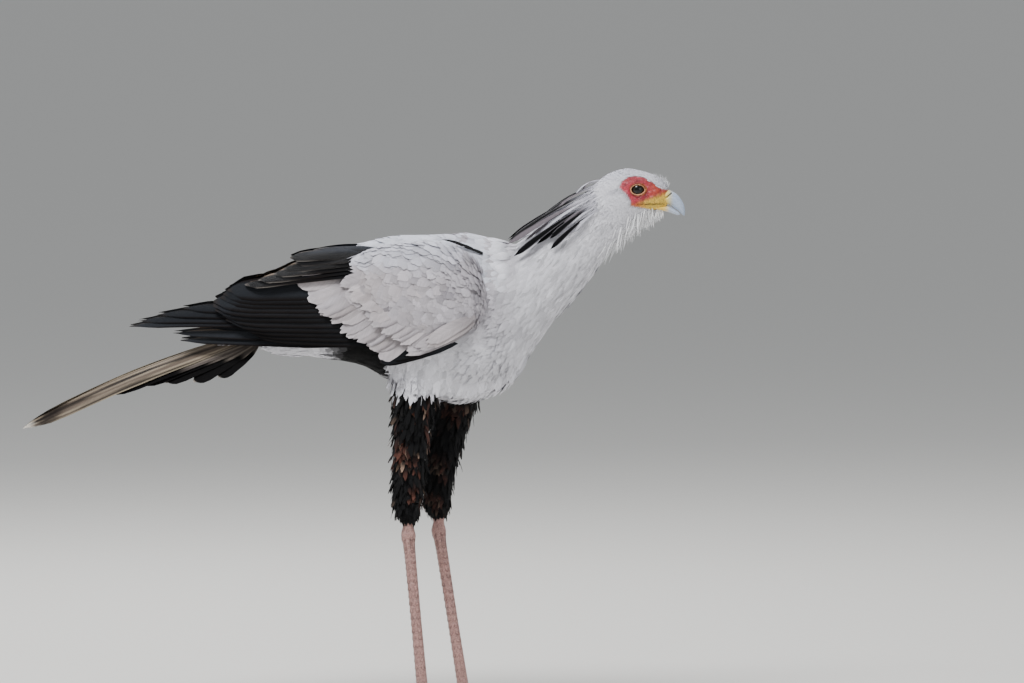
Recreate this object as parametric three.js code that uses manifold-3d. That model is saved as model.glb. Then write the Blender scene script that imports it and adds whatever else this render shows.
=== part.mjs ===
// A life-size standing secretary bird, leaning forward with its crest laid back, in millimetres.
// +X is the way the bird faces, +Y is its left, +Z is up, and the floor is at z = 0.
import * as THREE from "three";
import { mergeVertices } from "three/addons/utils/BufferGeometryUtils.js";
import Module from "manifold-3d";

const wasm = await Module();
wasm.setup();

// Clearance that neighbouring pieces keep
const GAP = 0.3;
const LEFT = 1;
const RIGHT = -1;

// Stations along the bird from the tail root to the forehead. Each is a plane across the bird, given by
// its top and bottom points in side view, [x, z], and by its half width.
const STATIONS = [
  { top: [-166, 718], bottom: [-172, 672], half: 21 },
  { top: [-124, 758], bottom: [-130, 652], half: 38 },
  { top: [-61, 806], bottom: [-54, 644], half: 60 },
  { top: [16, 848], bottom: [20, 628], half: 82 },
  { top: [83, 864], bottom: [92, 595], half: 96 },
  { top: [155, 868], bottom: [155, 573], half: 102 },
  { top: [218, 868], bottom: [223, 572], half: 99 },
  { top: [263, 861], bottom: [283, 605], half: 88 },
  { top: [297, 859], bottom: [328, 668], half: 73 },
  { top: [326, 878], bottom: [365, 718], half: 61 },
  { top: [356, 903], bottom: [403, 760], half: 52 },
  { top: [385, 922], bottom: [437, 804], half: 45 },
  { top: [412, 941], bottom: [464, 843], half: 40 },
  { top: [437, 963], bottom: [486, 872], half: 37 },
  { top: [461, 979], bottom: [504, 893], half: 34.5 },
  { top: [490, 987], bottom: [519, 906], half: 31.5 },
  { top: [518, 983], bottom: [534, 911], half: 28 },
  { top: [542, 975], bottom: [549, 913], half: 22 },
  { top: [559, 963], bottom: [560, 917], half: 14 },
  { top: [566, 952], bottom: [566, 925], half: 8 },
];
// The stations where the trunk is parted from the neck, and the neck from the head
const NECK_FROM = 8.4;
const HEAD_FROM = 12.1;

// The wing's covert-clad arm: rings from wrist to elbow, each with its place along X, its top and bottom
// heights and how far out from the midline its face lies
const ARM = [
  { x: 238, top: 776, bottom: 734, out: 96 },
  { x: 228, top: 812, bottom: 708, out: 110 },
  { x: 200, top: 840, bottom: 686, out: 120 },
  { x: 160, top: 854, bottom: 668, out: 126 },
  { x: 110, top: 858, bottom: 655, out: 127 },
  { x: 60, top: 852, bottom: 662, out: 121 },
  { x: 10, top: 836, bottom: 692, out: 108 },
  { x: -35, top: 812, bottom: 735, out: 92 },
];
const ARM_DEPTH = 46;

// Leg sizes: the ankle is the middle of the hock joint, the foot stands straight below the toes' root, and
// bend is how far the thigh's lower half is set forward
const LEGS = [
  { side: RIGHT, name: "right", out: 46, hip: [112, 640], bend: -4, ankle: [98, 330], foot: [126, 22] },
  { side: LEFT, name: "left", out: 46, hip: [196, 640], bend: -9, ankle: [152, 330], foot: [200, 22] },
];
const THIGH_END = 368;
const TARSUS_HALF = [9.6, 8.2];
const FOOT_TOP = 34;
const SOLE = 6.4;
// Toes of one foot: the way each points from straight ahead, outwards positive, its length to the claw,
// its thickness at the root and the length of its claw
const TOES = [
  { name: "inner", turn: -32, length: 44, half: 8.4, claw: 20 },
  { name: "middle", turn: 2, length: 58, half: 8.6, claw: 19 },
  { name: "outer", turn: 34, length: 43, half: 7.8, claw: 17 },
  { name: "hind", turn: 176, length: 26, half: 7.2, claw: 21 },
];

// Head sizes
const EYE = { at: [510, 951], out: 21, radius: 13.2 };
const LID = { half: [14.2, 10.4], thick: 2.1, out: 31 };
const NOSTRIL = { from: [562.5, 934.5], to: [570.5, 941], radius: 1.5, out: 10.5 };
const GAPE = [[504, 927], [522, 926.6], [540, 924.2], [560, 922.4]];
const CULMEN = [
  { top: [556, 955], bottom: [553, 924.6], half: 13 },
  { top: [567, 949], bottom: [563, 923.4], half: 11.8 },
  { top: [574, 945.5], bottom: [568, 921.8], half: 10.6 },
  { top: [581, 941], bottom: [573, 918.6], half: 9.3 },
  { top: [588.5, 932], bottom: [578.5, 914.8], half: 7.6 },
  { top: [593.5, 922], bottom: [583.5, 911.6], half: 5.8 },
  { top: [595.4, 912], bottom: [586.6, 908.6], half: 3.8 },
  { top: [595.2, 905.6], bottom: [590, 905.2], half: 2 },
  { top: [594.4, 902.6], bottom: [592.6, 903], half: 0.7 },
];
const MANDIBLE = [
  { top: [541, 922.2], bottom: [541, 913.6], half: 11.6 },
  { top: [555, 921.4], bottom: [556, 911.8], half: 10.8 },
  { top: [566, 920], bottom: [568, 908.6], half: 9 },
  { top: [573, 916.6], bottom: [575.5, 905.6], half: 6.8 },
  { top: [580, 911.8], bottom: [582.5, 903.8], half: 4.4 },
  { top: [584.6, 908.6], bottom: [586.6, 904.6], half: 2 },
];

// A seeded draw between -1 and 1, so that like feathers vary alike at every run
function seededDraw(seed) {
  let state = seed;
  return () => {
    state = (state * 16807) % 2147483647;
    return (state / 2147483647) * 2 - 1;
  };
}

// Geometry to solid, and solid to a named mesh

function solidOf(geometry) {
  const bare = geometry.clone();
  bare.deleteAttribute("normal");
  bare.deleteAttribute("uv");
  const merged = mergeVertices(bare, 1e-4);
  return new wasm.Manifold(
    new wasm.Mesh({
      numProp: 3,
      vertProperties: merged.attributes.position.array,
      triVerts: new Uint32Array(merged.index.array),
    }),
  );
}

function join(solids) {
  return wasm.Manifold.union(solids);
}

// The largest closed surface of a solid
function largest(solid) {
  return solid.decompose().sort((a, b) => b.volume() - a.volume())[0];
}

function finish(colour, roughness = 0.8) {
  return new THREE.MeshStandardMaterial({ color: colour, roughness, metalness: 0 });
}

function piece(name, solid, material) {
  const mesh = largest(solid).getMesh();
  const geometry = new THREE.BufferGeometry()
    .setAttribute("position", new THREE.BufferAttribute(mesh.vertProperties, 3))
    .setIndex(new THREE.BufferAttribute(mesh.triVerts, 1));
  geometry.computeVertexNormals();
  const made = new THREE.Mesh(geometry, material);
  made.name = name;
  return made;
}

// Closed skin over rings of points, each ring going the same way round, with both ends filled to their middles
function skinOver(rings) {
  const around = rings[0].length;
  const points = rings.flat();
  const middle = (ring) =>
    ring.reduce((sum, p) => sum.add(p), new THREE.Vector3()).divideScalar(around);
  points.push(middle(rings[0]), middle(rings.at(-1)));
  const faces = [];
  const start = points.length - 2;
  const end = points.length - 1;
  const lastRing = (rings.length - 1) * around;
  for (let k = 0; k < around; k += 1) {
    const next = (k + 1) % around;
    faces.push(start, next, k);
    faces.push(end, lastRing + k, lastRing + next);
    for (let ring = 0; ring + 1 < rings.length; ring += 1) {
      const a = ring * around + k;
      const b = ring * around + next;
      faces.push(a, b, b + around, a, b + around, a + around);
    }
  }
  return outwardSolid(points, faces);
}

// A solid from points and triangles, turned so that its faces point outwards
function outwardSolid(points, faces) {
  const build = (list) =>
    solidOf(new THREE.BufferGeometry().setFromPoints(points).setIndex(list));
  const solid = build(faces);
  if (solid.volume() > 0) return solid;
  const turned = [];
  for (let k = 0; k < faces.length; k += 3) turned.push(faces[k], faces[k + 2], faces[k + 1]);
  return build(turned);
}

// Lofts over stations with a top, a bottom and a half width

function stationCurves(stations) {
  const inSideView = ([x, z]) => new THREE.Vector3(x, 0, z);
  return {
    count: stations.length - 1,
    top: new THREE.CatmullRomCurve3(stations.map((s) => inSideView(s.top))),
    bottom: new THREE.CatmullRomCurve3(stations.map((s) => inSideView(s.bottom))),
    half: new THREE.CatmullRomCurve3(stations.map((s) => new THREE.Vector3(s.half, 0, 0))),
  };
}

// The point of a loft at a station number and an angle, 0 at the top and a quarter turn at the bird's left,
// moved outwards by grow
function loftPoint(curves, station, angle, grow = 0) {
  const t = THREE.MathUtils.clamp(station / curves.count, 0, 1);
  const top = curves.top.getPoint(t);
  const bottom = curves.bottom.getPoint(t);
  const half = curves.half.getPoint(t).x;
  const middle = top.clone().add(bottom).multiplyScalar(0.5);
  const up = top.clone().sub(bottom).multiplyScalar(0.5);
  const tall = up.length();
  up.multiplyScalar((Math.cos(angle) * (tall + grow)) / tall);
  return middle.add(up).add(new THREE.Vector3(0, Math.sin(angle) * (half + grow), 0));
}

// A loft from one station number to another. grow may be a number or a function of station and angle.
function loft(curves, from, to, { rings, around, grow = 0 }) {
  const growth = typeof grow === "function" ? grow : () => grow;
  const made = [];
  for (let ring = 0; ring <= rings; ring += 1) {
    const station = from + ((to - from) * ring) / rings;
    const points = [];
    for (let k = 0; k < around; k += 1) {
      const angle = (2 * Math.PI * k) / around;
      points.push(loftPoint(curves, station, angle, growth(station, angle)));
    }
    made.push(points);
  }
  return skinOver(made);
}

// A limb along a curve: rings across it whose two half sizes run along the limb. The first is fore and aft.
function limb(points, halves, { rings = 8, around = 12 }) {
  const path = new THREE.CatmullRomCurve3(points.map((p) => new THREE.Vector3(...p)));
  const sizes = new THREE.CatmullRomCurve3(halves.map(([a, b]) => new THREE.Vector3(a, b, 0)));
  const made = [];
  for (let ring = 0; ring <= rings; ring += 1) {
    const t = ring / rings;
    const at = path.getPoint(t);
    const along = path.getTangent(t);
    const across = new THREE.Vector3(0, 1, 0).addScaledVector(along, -along.y).normalize();
    const fore = new THREE.Vector3().crossVectors(across, along);
    const size = sizes.getPoint(t);
    const points = [];
    for (let k = 0; k < around; k += 1) {
      const angle = (2 * Math.PI * k) / around;
      points.push(
        at
          .clone()
          .addScaledVector(fore, size.x * Math.cos(angle))
          .addScaledVector(across, size.y * Math.sin(angle)),
      );
    }
    made.push(points);
  }
  return skinOver(made);
}

// Feather vanes

// The outline of a vane: where along it each ring lies, and the share of its full width there
const OUTLINES = {
  flight: [[0, 0.3], [0.2, 0.85], [0.5, 1], [0.8, 0.94], [0.94, 0.62], [1, 0.12]],
  covert: [[0, 0.45], [0.35, 0.95], [0.75, 1], [0.93, 0.66], [1, 0.16]],
  crest: [[0, 0.24], [0.4, 0.5], [0.72, 1], [0.9, 0.8], [1, 0.14]],
  lock: [[0, 1], [0.4, 0.8], [0.75, 0.5], [1, 0.12]],
};

// One vane: a flat strip along a bent line from root to tip. face is the way its flat side looks at the
// root and faceTip at the tip, bow lifts the middle of the line along it, and tilt turns the strip about
// its line, so that each vane of a tier rides over the next.
function vane({ root, tip, face, faceTip = face, bow = 0, width, tilt = 0, thick = 0.8, outline }) {
  const lift = face.clone().add(faceTip).normalize().multiplyScalar(bow * 2);
  const mid = root.clone().add(tip).multiplyScalar(0.5).add(lift);
  const line = new THREE.QuadraticBezierCurve3(root, mid, tip);
  const rings = outline.map(([t, share]) => {
    const at = line.getPoint(t);
    const along = line.getTangent(t);
    const look = face.clone().lerp(faceTip, t);
    const across = new THREE.Vector3().crossVectors(along, look).normalize();
    across.applyAxisAngle(along, tilt);
    const up = new THREE.Vector3().crossVectors(across, along).normalize();
    const halfWidth = (width / 2) * share;
    return [[1, 1], [1, -1], [-1, -1], [-1, 1]].map(([s, u]) =>
      at
        .clone()
        .addScaledVector(across, s * halfWidth)
        .addScaledVector(up, (u * thick) / 2),
    );
  });
  return skinOver(rings);
}

const curveOf = (points) => new THREE.CatmullRomCurve3(points.map((p) => new THREE.Vector3(...p)));

// A tier of vanes whose roots and tips run along curves from the first feather to the last. All look one
// way, and stack lifts each a little over the one before, so that they join only at their roots.
function tier({ count, roots, tips, face, widths, stack, seed = 1, uneven = 2, ...rest }) {
  const draw = seededDraw(seed);
  const [rootLine, tipLine] = [roots, tips].map(curveOf);
  const look = new THREE.Vector3(...face).normalize();
  const vanes = [];
  for (let k = 0; k < count; k += 1) {
    const t = k / (count - 1);
    const root = rootLine.getPoint(t).addScaledVector(look, k * stack);
    const tip = tipLine.getPoint(t).addScaledVector(look, k * stack);
    tip.addScaledVector(tip.clone().sub(root).normalize(), uneven * draw());
    const width = THREE.MathUtils.lerp(widths[0], widths[1], t);
    vanes.push(vane({ root, tip, face: look, width, ...rest }));
  }
  return vanes;
}

const body = stationCurves(STATIONS);
const bodyAt = (station, angle, lift) => loftPoint(body, station, angle, lift);
const degrees = THREE.MathUtils.degToRad;

// Trunk, neck and their slightly larger copies, which cut clearances into what lies on them
const trunk = loft(body, 0, NECK_FROM, { rings: 13, around: 22 });
const trunkClear = loft(body, 0, NECK_FROM, { rings: 13, around: 22, grow: 2 * GAP });
const neck = loft(body, NECK_FROM + 0.012, HEAD_FROM, { rings: 8, around: 22 });
const neckClear = loft(body, NECK_FROM - 0.3, HEAD_FROM, { rings: 8, around: 22, grow: 2 * GAP });

// One wing, folded, made on the left: the arm clad in coverts, and the tiers of coverts, scapulars and
// flight feathers that leave it
function armSolid() {
  const rings = [];
  const count = 10;
  const tops = curveOf(ARM.map((r) => [r.x, r.out, r.top]));
  const bottoms = curveOf(ARM.map((r) => [r.x, r.out, r.bottom]));
  for (let k = 0; k <= count; k += 1) {
    const top = tops.getPoint(k / count);
    const bottom = bottoms.getPoint(k / count);
    const middle = (top.z + bottom.z) / 2;
    const tall = (top.z - bottom.z) / 2;
    const ring = [];
    const around = 16;
    for (let m = 0; m < around; m += 1) {
      const angle = (2 * Math.PI * m) / around;
      const out = top.y - ARM_DEPTH * (1 - Math.cos(angle));
      ring.push(new THREE.Vector3(top.x, out, middle + tall * Math.sin(angle)));
    }
    rings.push(ring);
  }
  return skinOver(rings);
}

const PRIMARIES = {
  count: 7,
  roots: [[146, 101, 690], [128, 100, 706], [112, 98, 726]],
  tips: [
    [-316, 32, 680],
    [-326, 30, 693],
    [-268, 30, 706],
    [-409, 20, 704],
    [-388, 21, 714],
    [-352, 24, 726],
    [-310, 28, 738],
  ],
  face: [-0.145, 0.99, 0.03],
  widths: [34, 40],
  bow: 3,
  tilt: degrees(-8),
  stack: 1,
  outline: OUTLINES.flight,
};
const SECONDARIES = {
  count: 7,
  roots: [[140, 109, 690], [100, 110, 738], [44, 105, 784]],
  tips: [[-190, 65, 700], [-232, 60, 722], [-252, 57, 750], [-226, 58, 772]],
  face: [-0.14, 0.98, 0.06],
  widths: [46, 46],
  bow: 3,
  tilt: degrees(-8),
  stack: 0.2,
  outline: OUTLINES.flight,
};
const ROOF_FEATHERS = {
  count: 4,
  roots: [[40, 92, 812], [46, 76, 826], [52, 56, 838]],
  tips: [[-196, 68, 782], [-146, 62, 800], [-110, 42, 822], [-90, 24, 830]],
  face: [-0.1, 0.6, 0.8],
  widths: [42, 40],
  bow: 5,
  tilt: degrees(-7),
  stack: 1.2,
  outline: OUTLINES.flight,
};
const SCAPULARS = {
  count: 3,
  roots: [[112, 86, 832], [116, 74, 840], [118, 62, 841]],
  tips: [[6, 86, 836], [8, 66, 850], [10, 48, 859]],
  face: [0, 0.5, 0.87],
  widths: [40, 38],
  bow: 3,
  tilt: degrees(-7),
  stack: 0.6,
  thick: 1,
  outline: OUTLINES.covert,
};
const GREATER_COVERTS = {
  count: 7,
  roots: [[116, 112, 704], [72, 112, 738], [26, 106, 774], [-2, 92, 796]],
  tips: [[42, 110, 660], [-6, 105, 690], [-62, 97, 736], [-100, 90, 774]],
  face: [-0.17, 0.97, 0.12],
  widths: [36, 38],
  bow: 3,
  tilt: degrees(-8),
  stack: 0.1,
  thick: 1,
  outline: OUTLINES.covert,
};
const MEDIAN_COVERTS = {
  count: 5,
  roots: [[160, 111, 716], [132, 115, 744], [100, 115, 780], [70, 104, 808]],
  tips: [[96, 123, 664], [56, 124, 696], [12, 117, 742], [-20, 104, 782]],
  face: [-0.08, 0.98, 0.1],
  widths: [38, 42],
  bow: 2,
  tilt: degrees(-8),
  stack: 0.1,
  thick: 1,
  outline: OUTLINES.covert,
};

function wingSolid() {
  const vanes = [
    ...tier({ ...PRIMARIES, seed: 11 }),
    ...tier({ ...SECONDARIES, seed: 12 }),
    ...tier({ ...ROOF_FEATHERS, seed: 13 }),
    ...tier({ ...SCAPULARS, seed: 14 }),
    ...tier({ ...GREATER_COVERTS, seed: 15 }),
    ...tier({ ...MEDIAN_COVERTS, seed: 16 }),
  ];
  return join([armSolid(), ...vanes])
    .subtract(trunkClear)
    .trimByPlane([0, 1, 0], GAP);
}

// Tail: a short root behind the trunk, the long middle pair on top, and five graduated pairs, all of which
// slope away on each side like a roof, each feather a little under the one before it
const TAIL_ROOT = new THREE.Vector3(-180, 0, 697);
const TAIL_FALL = degrees(20);
const TAIL_SLOPE = degrees(46);
const TAIL_STEP = 1.5;
const MIDDLE_PAIR = { tip: [-597, 5, 518], width: 42, bow: 13, lift: 7, roll: degrees(38) };
const TAIL_PAIRS = [
  { length: 290, spread: 0.5, width: 42, bow: 8 },
  { length: 226, spread: 1.5, width: 41, bow: 6 },
  { length: 182, spread: 6, width: 40, bow: 4 },
  { length: 138, spread: 16, width: 38, bow: 2 },
  { length: 98, spread: 28, width: 36, bow: 1 },
];

function tailSolid() {
  const back = new THREE.Vector3(-Math.cos(TAIL_FALL), 0, -Math.sin(TAIL_FALL));
  const up = new THREE.Vector3(-Math.sin(TAIL_FALL), 0, Math.cos(TAIL_FALL));
  const feathers = [LEFT, RIGHT].flatMap((side) => {
    const outwards = new THREE.Vector3(0, side, 0);
    const face = up
      .clone()
      .multiplyScalar(Math.cos(TAIL_SLOPE))
      .addScaledVector(outwards, Math.sin(TAIL_SLOPE));
    const down = outwards
      .clone()
      .multiplyScalar(Math.cos(TAIL_SLOPE))
      .addScaledVector(up, -Math.sin(TAIL_SLOPE));
    const stagger = side === LEFT ? TAIL_STEP : 0;
    const rolled = up
      .clone()
      .multiplyScalar(Math.cos(MIDDLE_PAIR.roll))
      .addScaledVector(outwards, Math.sin(MIDDLE_PAIR.roll));
    const middle = vane({
      root: TAIL_ROOT.clone()
        .addScaledVector(up, MIDDLE_PAIR.lift + stagger)
        .addScaledVector(down, MIDDLE_PAIR.width / 2),
      tip: new THREE.Vector3(
        MIDDLE_PAIR.tip[0],
        side * MIDDLE_PAIR.tip[1],
        MIDDLE_PAIR.tip[2] + stagger,
      ),
      face: rolled,
      bow: MIDDLE_PAIR.bow,
      width: MIDDLE_PAIR.width,
      thick: 0.9,
      outline: OUTLINES.flight,
    });
    const sloping = TAIL_PAIRS.map(({ length, spread, width, bow }, k) => {
      const turn = degrees(spread);
      const away = back
        .clone()
        .multiplyScalar(Math.cos(turn))
        .addScaledVector(down, Math.sin(turn));
      const root = TAIL_ROOT.clone()
        .addScaledVector(face, -TAIL_STEP * k)
        .addScaledVector(down, width / 2 + 2 * k);
      const tip = root.clone().addScaledVector(away, length);
      return vane({ root, tip, face, bow, width, thick: 0.9, outline: OUTLINES.flight });
    });
    return [middle, ...sloping];
  });
  const stub = limb(
    [[-172.6, 0, 695], [-192, 0, 688], [-222, 0, 676]],
    [[21, 20], [19, 26], [4, 8]],
    { rings: 5, around: 12 },
  );
  return join([stub, ...feathers]).subtract(trunkClear);
}

// Legs

// The feathered thigh and shin, from inside the trunk to just above the bare hock
function thighSolid(leg) {
  const y = leg.side * leg.out;
  const between = (share, dx = 0) => [
    THREE.MathUtils.lerp(leg.hip[0], leg.ankle[0], share) + dx,
    y,
    THREE.MathUtils.lerp(leg.hip[1], THIGH_END, share),
  ];
  return limb(
    [
      between(0),
      between(0.22),
      between(0.5, leg.bend * 0.7),
      between(0.75, leg.bend),
      between(0.93, leg.bend * 0.7),
      between(1),
    ],
    [[46, 40], [39, 37], [33, 31], [29, 27], [25, 22], [18, 16]],
    { rings: 9, around: 18 },
  )
    .subtract(trunkClear)
    .trimByPlane([0, 0, 1], THIGH_END);
}

// The bare end of the shin, the hock joint and the tarsus down to the foot
function tarsusSolid(leg) {
  const y = leg.side * leg.out;
  const [ax, az] = leg.ankle;
  const [fx, fz] = leg.foot;
  const [fore, side] = TARSUS_HALF;
  const down = (share) => [
    THREE.MathUtils.lerp(ax, fx, share),
    y,
    THREE.MathUtils.lerp(az, fz, share),
  ];
  return limb(
    [[ax + 3, y, THIGH_END + 6], [ax, y, az + 16], down(0), down(0.07), down(0.5), down(0.93), down(1)],
    [[9.4, 8.4], [10, 9], [13.4, 10.6], [10.6, 9.2], [fore, side], [fore + 1, side + 1.4], [12, 11]],
    { rings: 15, around: 12 },
  )
    .trimByPlane([0, 0, -1], -(THIGH_END - GAP))
    .trimByPlane([0, 0, 1], FOOT_TOP + GAP);
}

// Where a toe leaves the foot, its line along the floor and its claw's root
function toeLine(leg, toe) {
  const heading = degrees(toe.turn) * leg.side;
  const forward = new THREE.Vector3(Math.cos(heading), Math.sin(heading), 0);
  const start = new THREE.Vector3(leg.foot[0] + 2, leg.side * leg.out, SOLE + 5);
  const at = (reach, z) => start.clone().addScaledVector(forward, reach).setZ(z).toArray();
  return { forward, at };
}

function footSolid(leg) {
  const toes = TOES.map((toe) => {
    const { at } = toeLine(leg, toe);
    const { length, half } = toe;
    return limb(
      [at(0, SOLE + 5), at(length * 0.3, SOLE + 2), at(length * 0.66, SOLE), at(length, SOLE - 0.4)],
      [[half + 2, half + 2], [half, half], [half - 0.4, half - 0.6], [half - 2.2, half - 2]],
      { rings: 5, around: 8 },
    );
  });
  const y = leg.side * leg.out;
  const knuckle = limb(
    [[leg.foot[0] - 1, y, FOOT_TOP + 4], [leg.foot[0] + 1, y, 20], [leg.foot[0] + 5, y, -2]],
    [[11, 10.4], [14, 13], [17, 16]],
    { rings: 4, around: 12 },
  );
  return join([knuckle, ...toes])
    .trimByPlane([0, 0, -1], -FOOT_TOP)
    .trimByPlane([0, 0, 1], 0);
}

// A short, blunt claw that leaves its toe's end and curves down to just above the floor
function clawSolid(leg, toe) {
  const { at } = toeLine(leg, toe);
  const { length, half, claw } = toe;
  const from = length + 4 * GAP;
  const thick = half - 3;
  return limb(
    [at(from, SOLE), at(from + claw * 0.4, SOLE + 0.6), at(from + claw * 0.8, 3.4), at(from + claw, 1.4)],
    [[thick, thick - 0.6], [thick - 0.8, thick - 1.4], [thick - 2.2, thick - 2.6], [0.6, 0.6]],
    { rings: 4, around: 7 },
  ).trimByPlane([0, 0, 1], 0);
}

// Head

// An eyeball, a thin ring of lid round it, and the hollow that they sit in
function eyeball(side, radius) {
  const ball = new THREE.SphereGeometry(radius, 12, 8);
  ball.rotateX(Math.PI / 2);
  ball.translate(EYE.at[0], side * EYE.out, EYE.at[1]);
  return solidOf(ball);
}

function lidRing(side) {
  const rings = [];
  const count = 16;
  for (let k = 0; k < count; k += 1) {
    const turn = (2 * Math.PI * k) / count;
    const [halfX, halfZ] = LID.half;
    const outwards = new THREE.Vector3(Math.cos(turn), 0, Math.sin(turn));
    const at = new THREE.Vector3(
      EYE.at[0] + halfX * Math.cos(turn),
      side * (LID.out - 2.4 * Math.abs(Math.cos(turn))),
      EYE.at[1] + halfZ * Math.sin(turn),
    );
    const ring = [];
    for (let m = 0; m < 5; m += 1) {
      const angle = (2 * Math.PI * m) / 5;
      ring.push(
        at
          .clone()
          .addScaledVector(outwards, LID.thick * Math.cos(angle))
          .add(new THREE.Vector3(0, side * LID.thick * 1.6 * Math.sin(angle), 0)),
      );
    }
    rings.push(ring);
  }
  return closedRing(rings);
}

// Skin over rings that come back to the first one
function closedRing(rings) {
  const around = rings[0].length;
  const faces = [];
  rings.forEach((_, ring) => {
    const following = (ring + 1) % rings.length;
    for (let k = 0; k < around; k += 1) {
      const next = (k + 1) % around;
      const a = ring * around + k;
      const b = ring * around + next;
      const c = following * around + next;
      const d = following * around + k;
      faces.push(a, b, c, a, c, d);
    }
  });
  return outwardSolid(rings.flat(), faces);
}

// The line of the mouth, cut as a thin groove from the corner of the gape to the bill
function mouthGroove(side) {
  const line = GAPE.map(([x, z], k) => [x, side * [27, 23, 17, 13][k], z]);
  return limb(line, [[0.7, 6], [0.8, 6], [0.9, 6], [0.9, 6]], { rings: 4, around: 6 });
}

function nostrilPit(side) {
  const { from, to, radius, out } = NOSTRIL;
  return limb(
    [[from[0], side * out, from[1]], [to[0], side * (out - 1), to[1]]],
    [[radius, 4], [radius, 4]],
    { rings: 2, around: 8 },
  );
}

// Crest feathers of one side, from the crown down: station and angle of root and tip on the body, the
// tip's height over it and the width. Every second one rides higher, clear of its neighbours.
const CREST = [
  { root: [13.3, 8], tip: [11.5, 9], lift: 7, width: 9 },
  { root: [12.9, 20], tip: [9, 16], lift: 9, width: 12 },
  { root: [12.8, 32], tip: [7.3, 20], lift: 7, width: 13 },
  { root: [12.7, 43], tip: [7.4, 33], lift: 6, width: 14 },
  { root: [12.6, 54], tip: [7.6, 45], lift: 5, width: 14 },
  { root: [12.5, 62], tip: [9.5, 54], lift: 5, width: 12 },
  { root: [12.5, 70], tip: [9.3, 63], lift: 5, width: 11 },
];
const CREST_BOW = 8;
const CREST_STEP = 2.4;

function crestFeathers(side) {
  return CREST.map(({ root, tip, lift, width }, k) => {
    const over = k % 2 ? CREST_STEP : 0;
    const rootAngle = side * degrees(root[1]);
    const tipAngle = side * degrees(tip[1]);
    const outwardsAt = (station, angle) =>
      bodyAt(station, angle, 6).sub(bodyAt(station, angle, 0)).normalize();
    return vane({
      root: bodyAt(root[0], rootAngle, over - 4),
      tip: bodyAt(tip[0], tipAngle, lift + over),
      face: outwardsAt(root[0], rootAngle),
      faceTip: outwardsAt(tip[0], tipAngle),
      bow: CREST_BOW,
      width,
      thick: 0.9,
      outline: OUTLINES.crest,
    });
  });
}

// Chin feathers: pointed locks that hang from the throat, shortest at the bill
const BEARD = { rows: [-15, 0, 15], perRow: 4, from: 12.9, to: 17.2, length: [27, 12], width: 10 };

function beardLocks() {
  const draw = seededDraw(21);
  const locks = [];
  BEARD.rows.forEach((spread, row) => {
    for (let k = 0; k < BEARD.perRow; k += 1) {
      const share = (k + (row % 2) * 0.5) / BEARD.perRow;
      const station = THREE.MathUtils.lerp(BEARD.from, BEARD.to, share);
      const angle = Math.PI + degrees(spread);
      const root = bodyAt(station, angle, -3);
      const hang = THREE.MathUtils.lerp(...BEARD.length, share) * (1 + 0.12 * draw());
      const back = THREE.MathUtils.lerp(-0.75, -0.1, share);
      const tip = root
        .clone()
        .addScaledVector(new THREE.Vector3(back, -0.02 * spread, -1).normalize(), hang);
      const face = new THREE.Vector3(0, 1, 0);
      locks.push(vane({ root, tip, face, width: BEARD.width, thick: 1.4, outline: OUTLINES.lock }));
    }
  });
  return locks;
}

function headSolid(upper, lower) {
  const skull = loft(body, HEAD_FROM + 0.012, body.count, { rings: 11, around: 22 });
  const sides = [LEFT, RIGHT];
  const crest = join(sides.flatMap(crestFeathers)).subtract(neckClear).subtract(trunkClear);
  const beard = join(beardLocks()).subtract(neckClear);
  let head = join([skull, ...sides.map(lidRing), crest, beard]);
  for (const side of sides) {
    head = head.subtract(eyeball(side, EYE.radius + GAP)).subtract(mouthGroove(side));
  }
  return head.subtract(upper).subtract(lower);
}

// Bill: the hooked upper half and the lower half, each a little larger where it cuts its seat in the head
function billHalf(stations, { rings, grow = 0 }) {
  const curves = stationCurves(stations);
  return loft(curves, 0, curves.count, { rings, around: 14, grow });
}

// Colours as the photograph shows them
const COLOURS = {
  plumage: "#c9c9ce",
  coverts: "#b4b1b2",
  flight: "#17171a",
  legSkin: "#b58a86",
  face: "#d8643c",
  horn: "#a9b6c8",
  eye: "#1a1710",
  claw: "#26211f",
};

const bird = new THREE.Group();

const upperSeat = billHalf(CULMEN, { rings: 10, grow: GAP });
const lowerSeat = billHalf(MANDIBLE, { rings: 7, grow: GAP });
const nostrils = join([LEFT, RIGHT].map(nostrilPit));
bird.add(piece("torso", trunk, finish(COLOURS.plumage)));
bird.add(piece("neck", neck, finish(COLOURS.plumage)));
bird.add(piece("head", headSolid(upperSeat, lowerSeat), finish(COLOURS.plumage)));
bird.add(
  piece("bill_upper", billHalf(CULMEN, { rings: 10 }).subtract(nostrils), finish(COLOURS.horn, 0.4)),
);
bird.add(piece("bill_lower", billHalf(MANDIBLE, { rings: 7 }), finish(COLOURS.horn, 0.4)));

const leftWing = wingSolid();
const wings = { left: leftWing, right: leftWing.mirror([0, 1, 0]) };
for (const [name, wing] of Object.entries(wings)) {
  bird.add(piece(`wing_${name}`, wing, finish(COLOURS.coverts)));
}
bird.add(piece("tail", tailSolid(), finish(COLOURS.flight)));

for (const leg of LEGS) {
  bird.add(piece(`eye_${leg.name}`, eyeball(leg.side, EYE.radius), finish(COLOURS.eye, 0.1)));
  bird.add(piece(`thigh_${leg.name}`, thighSolid(leg), finish(COLOURS.flight)));
  bird.add(piece(`tarsus_${leg.name}`, tarsusSolid(leg), finish(COLOURS.legSkin, 0.6)));
  bird.add(piece(`foot_${leg.name}`, footSolid(leg), finish(COLOURS.legSkin, 0.6)));
  for (const toe of TOES) {
    const name = `claw_${toe.name}_${leg.name}`;
    bird.add(piece(name, clawSolid(leg, toe), finish(COLOURS.claw, 0.4)));
  }
}

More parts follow.
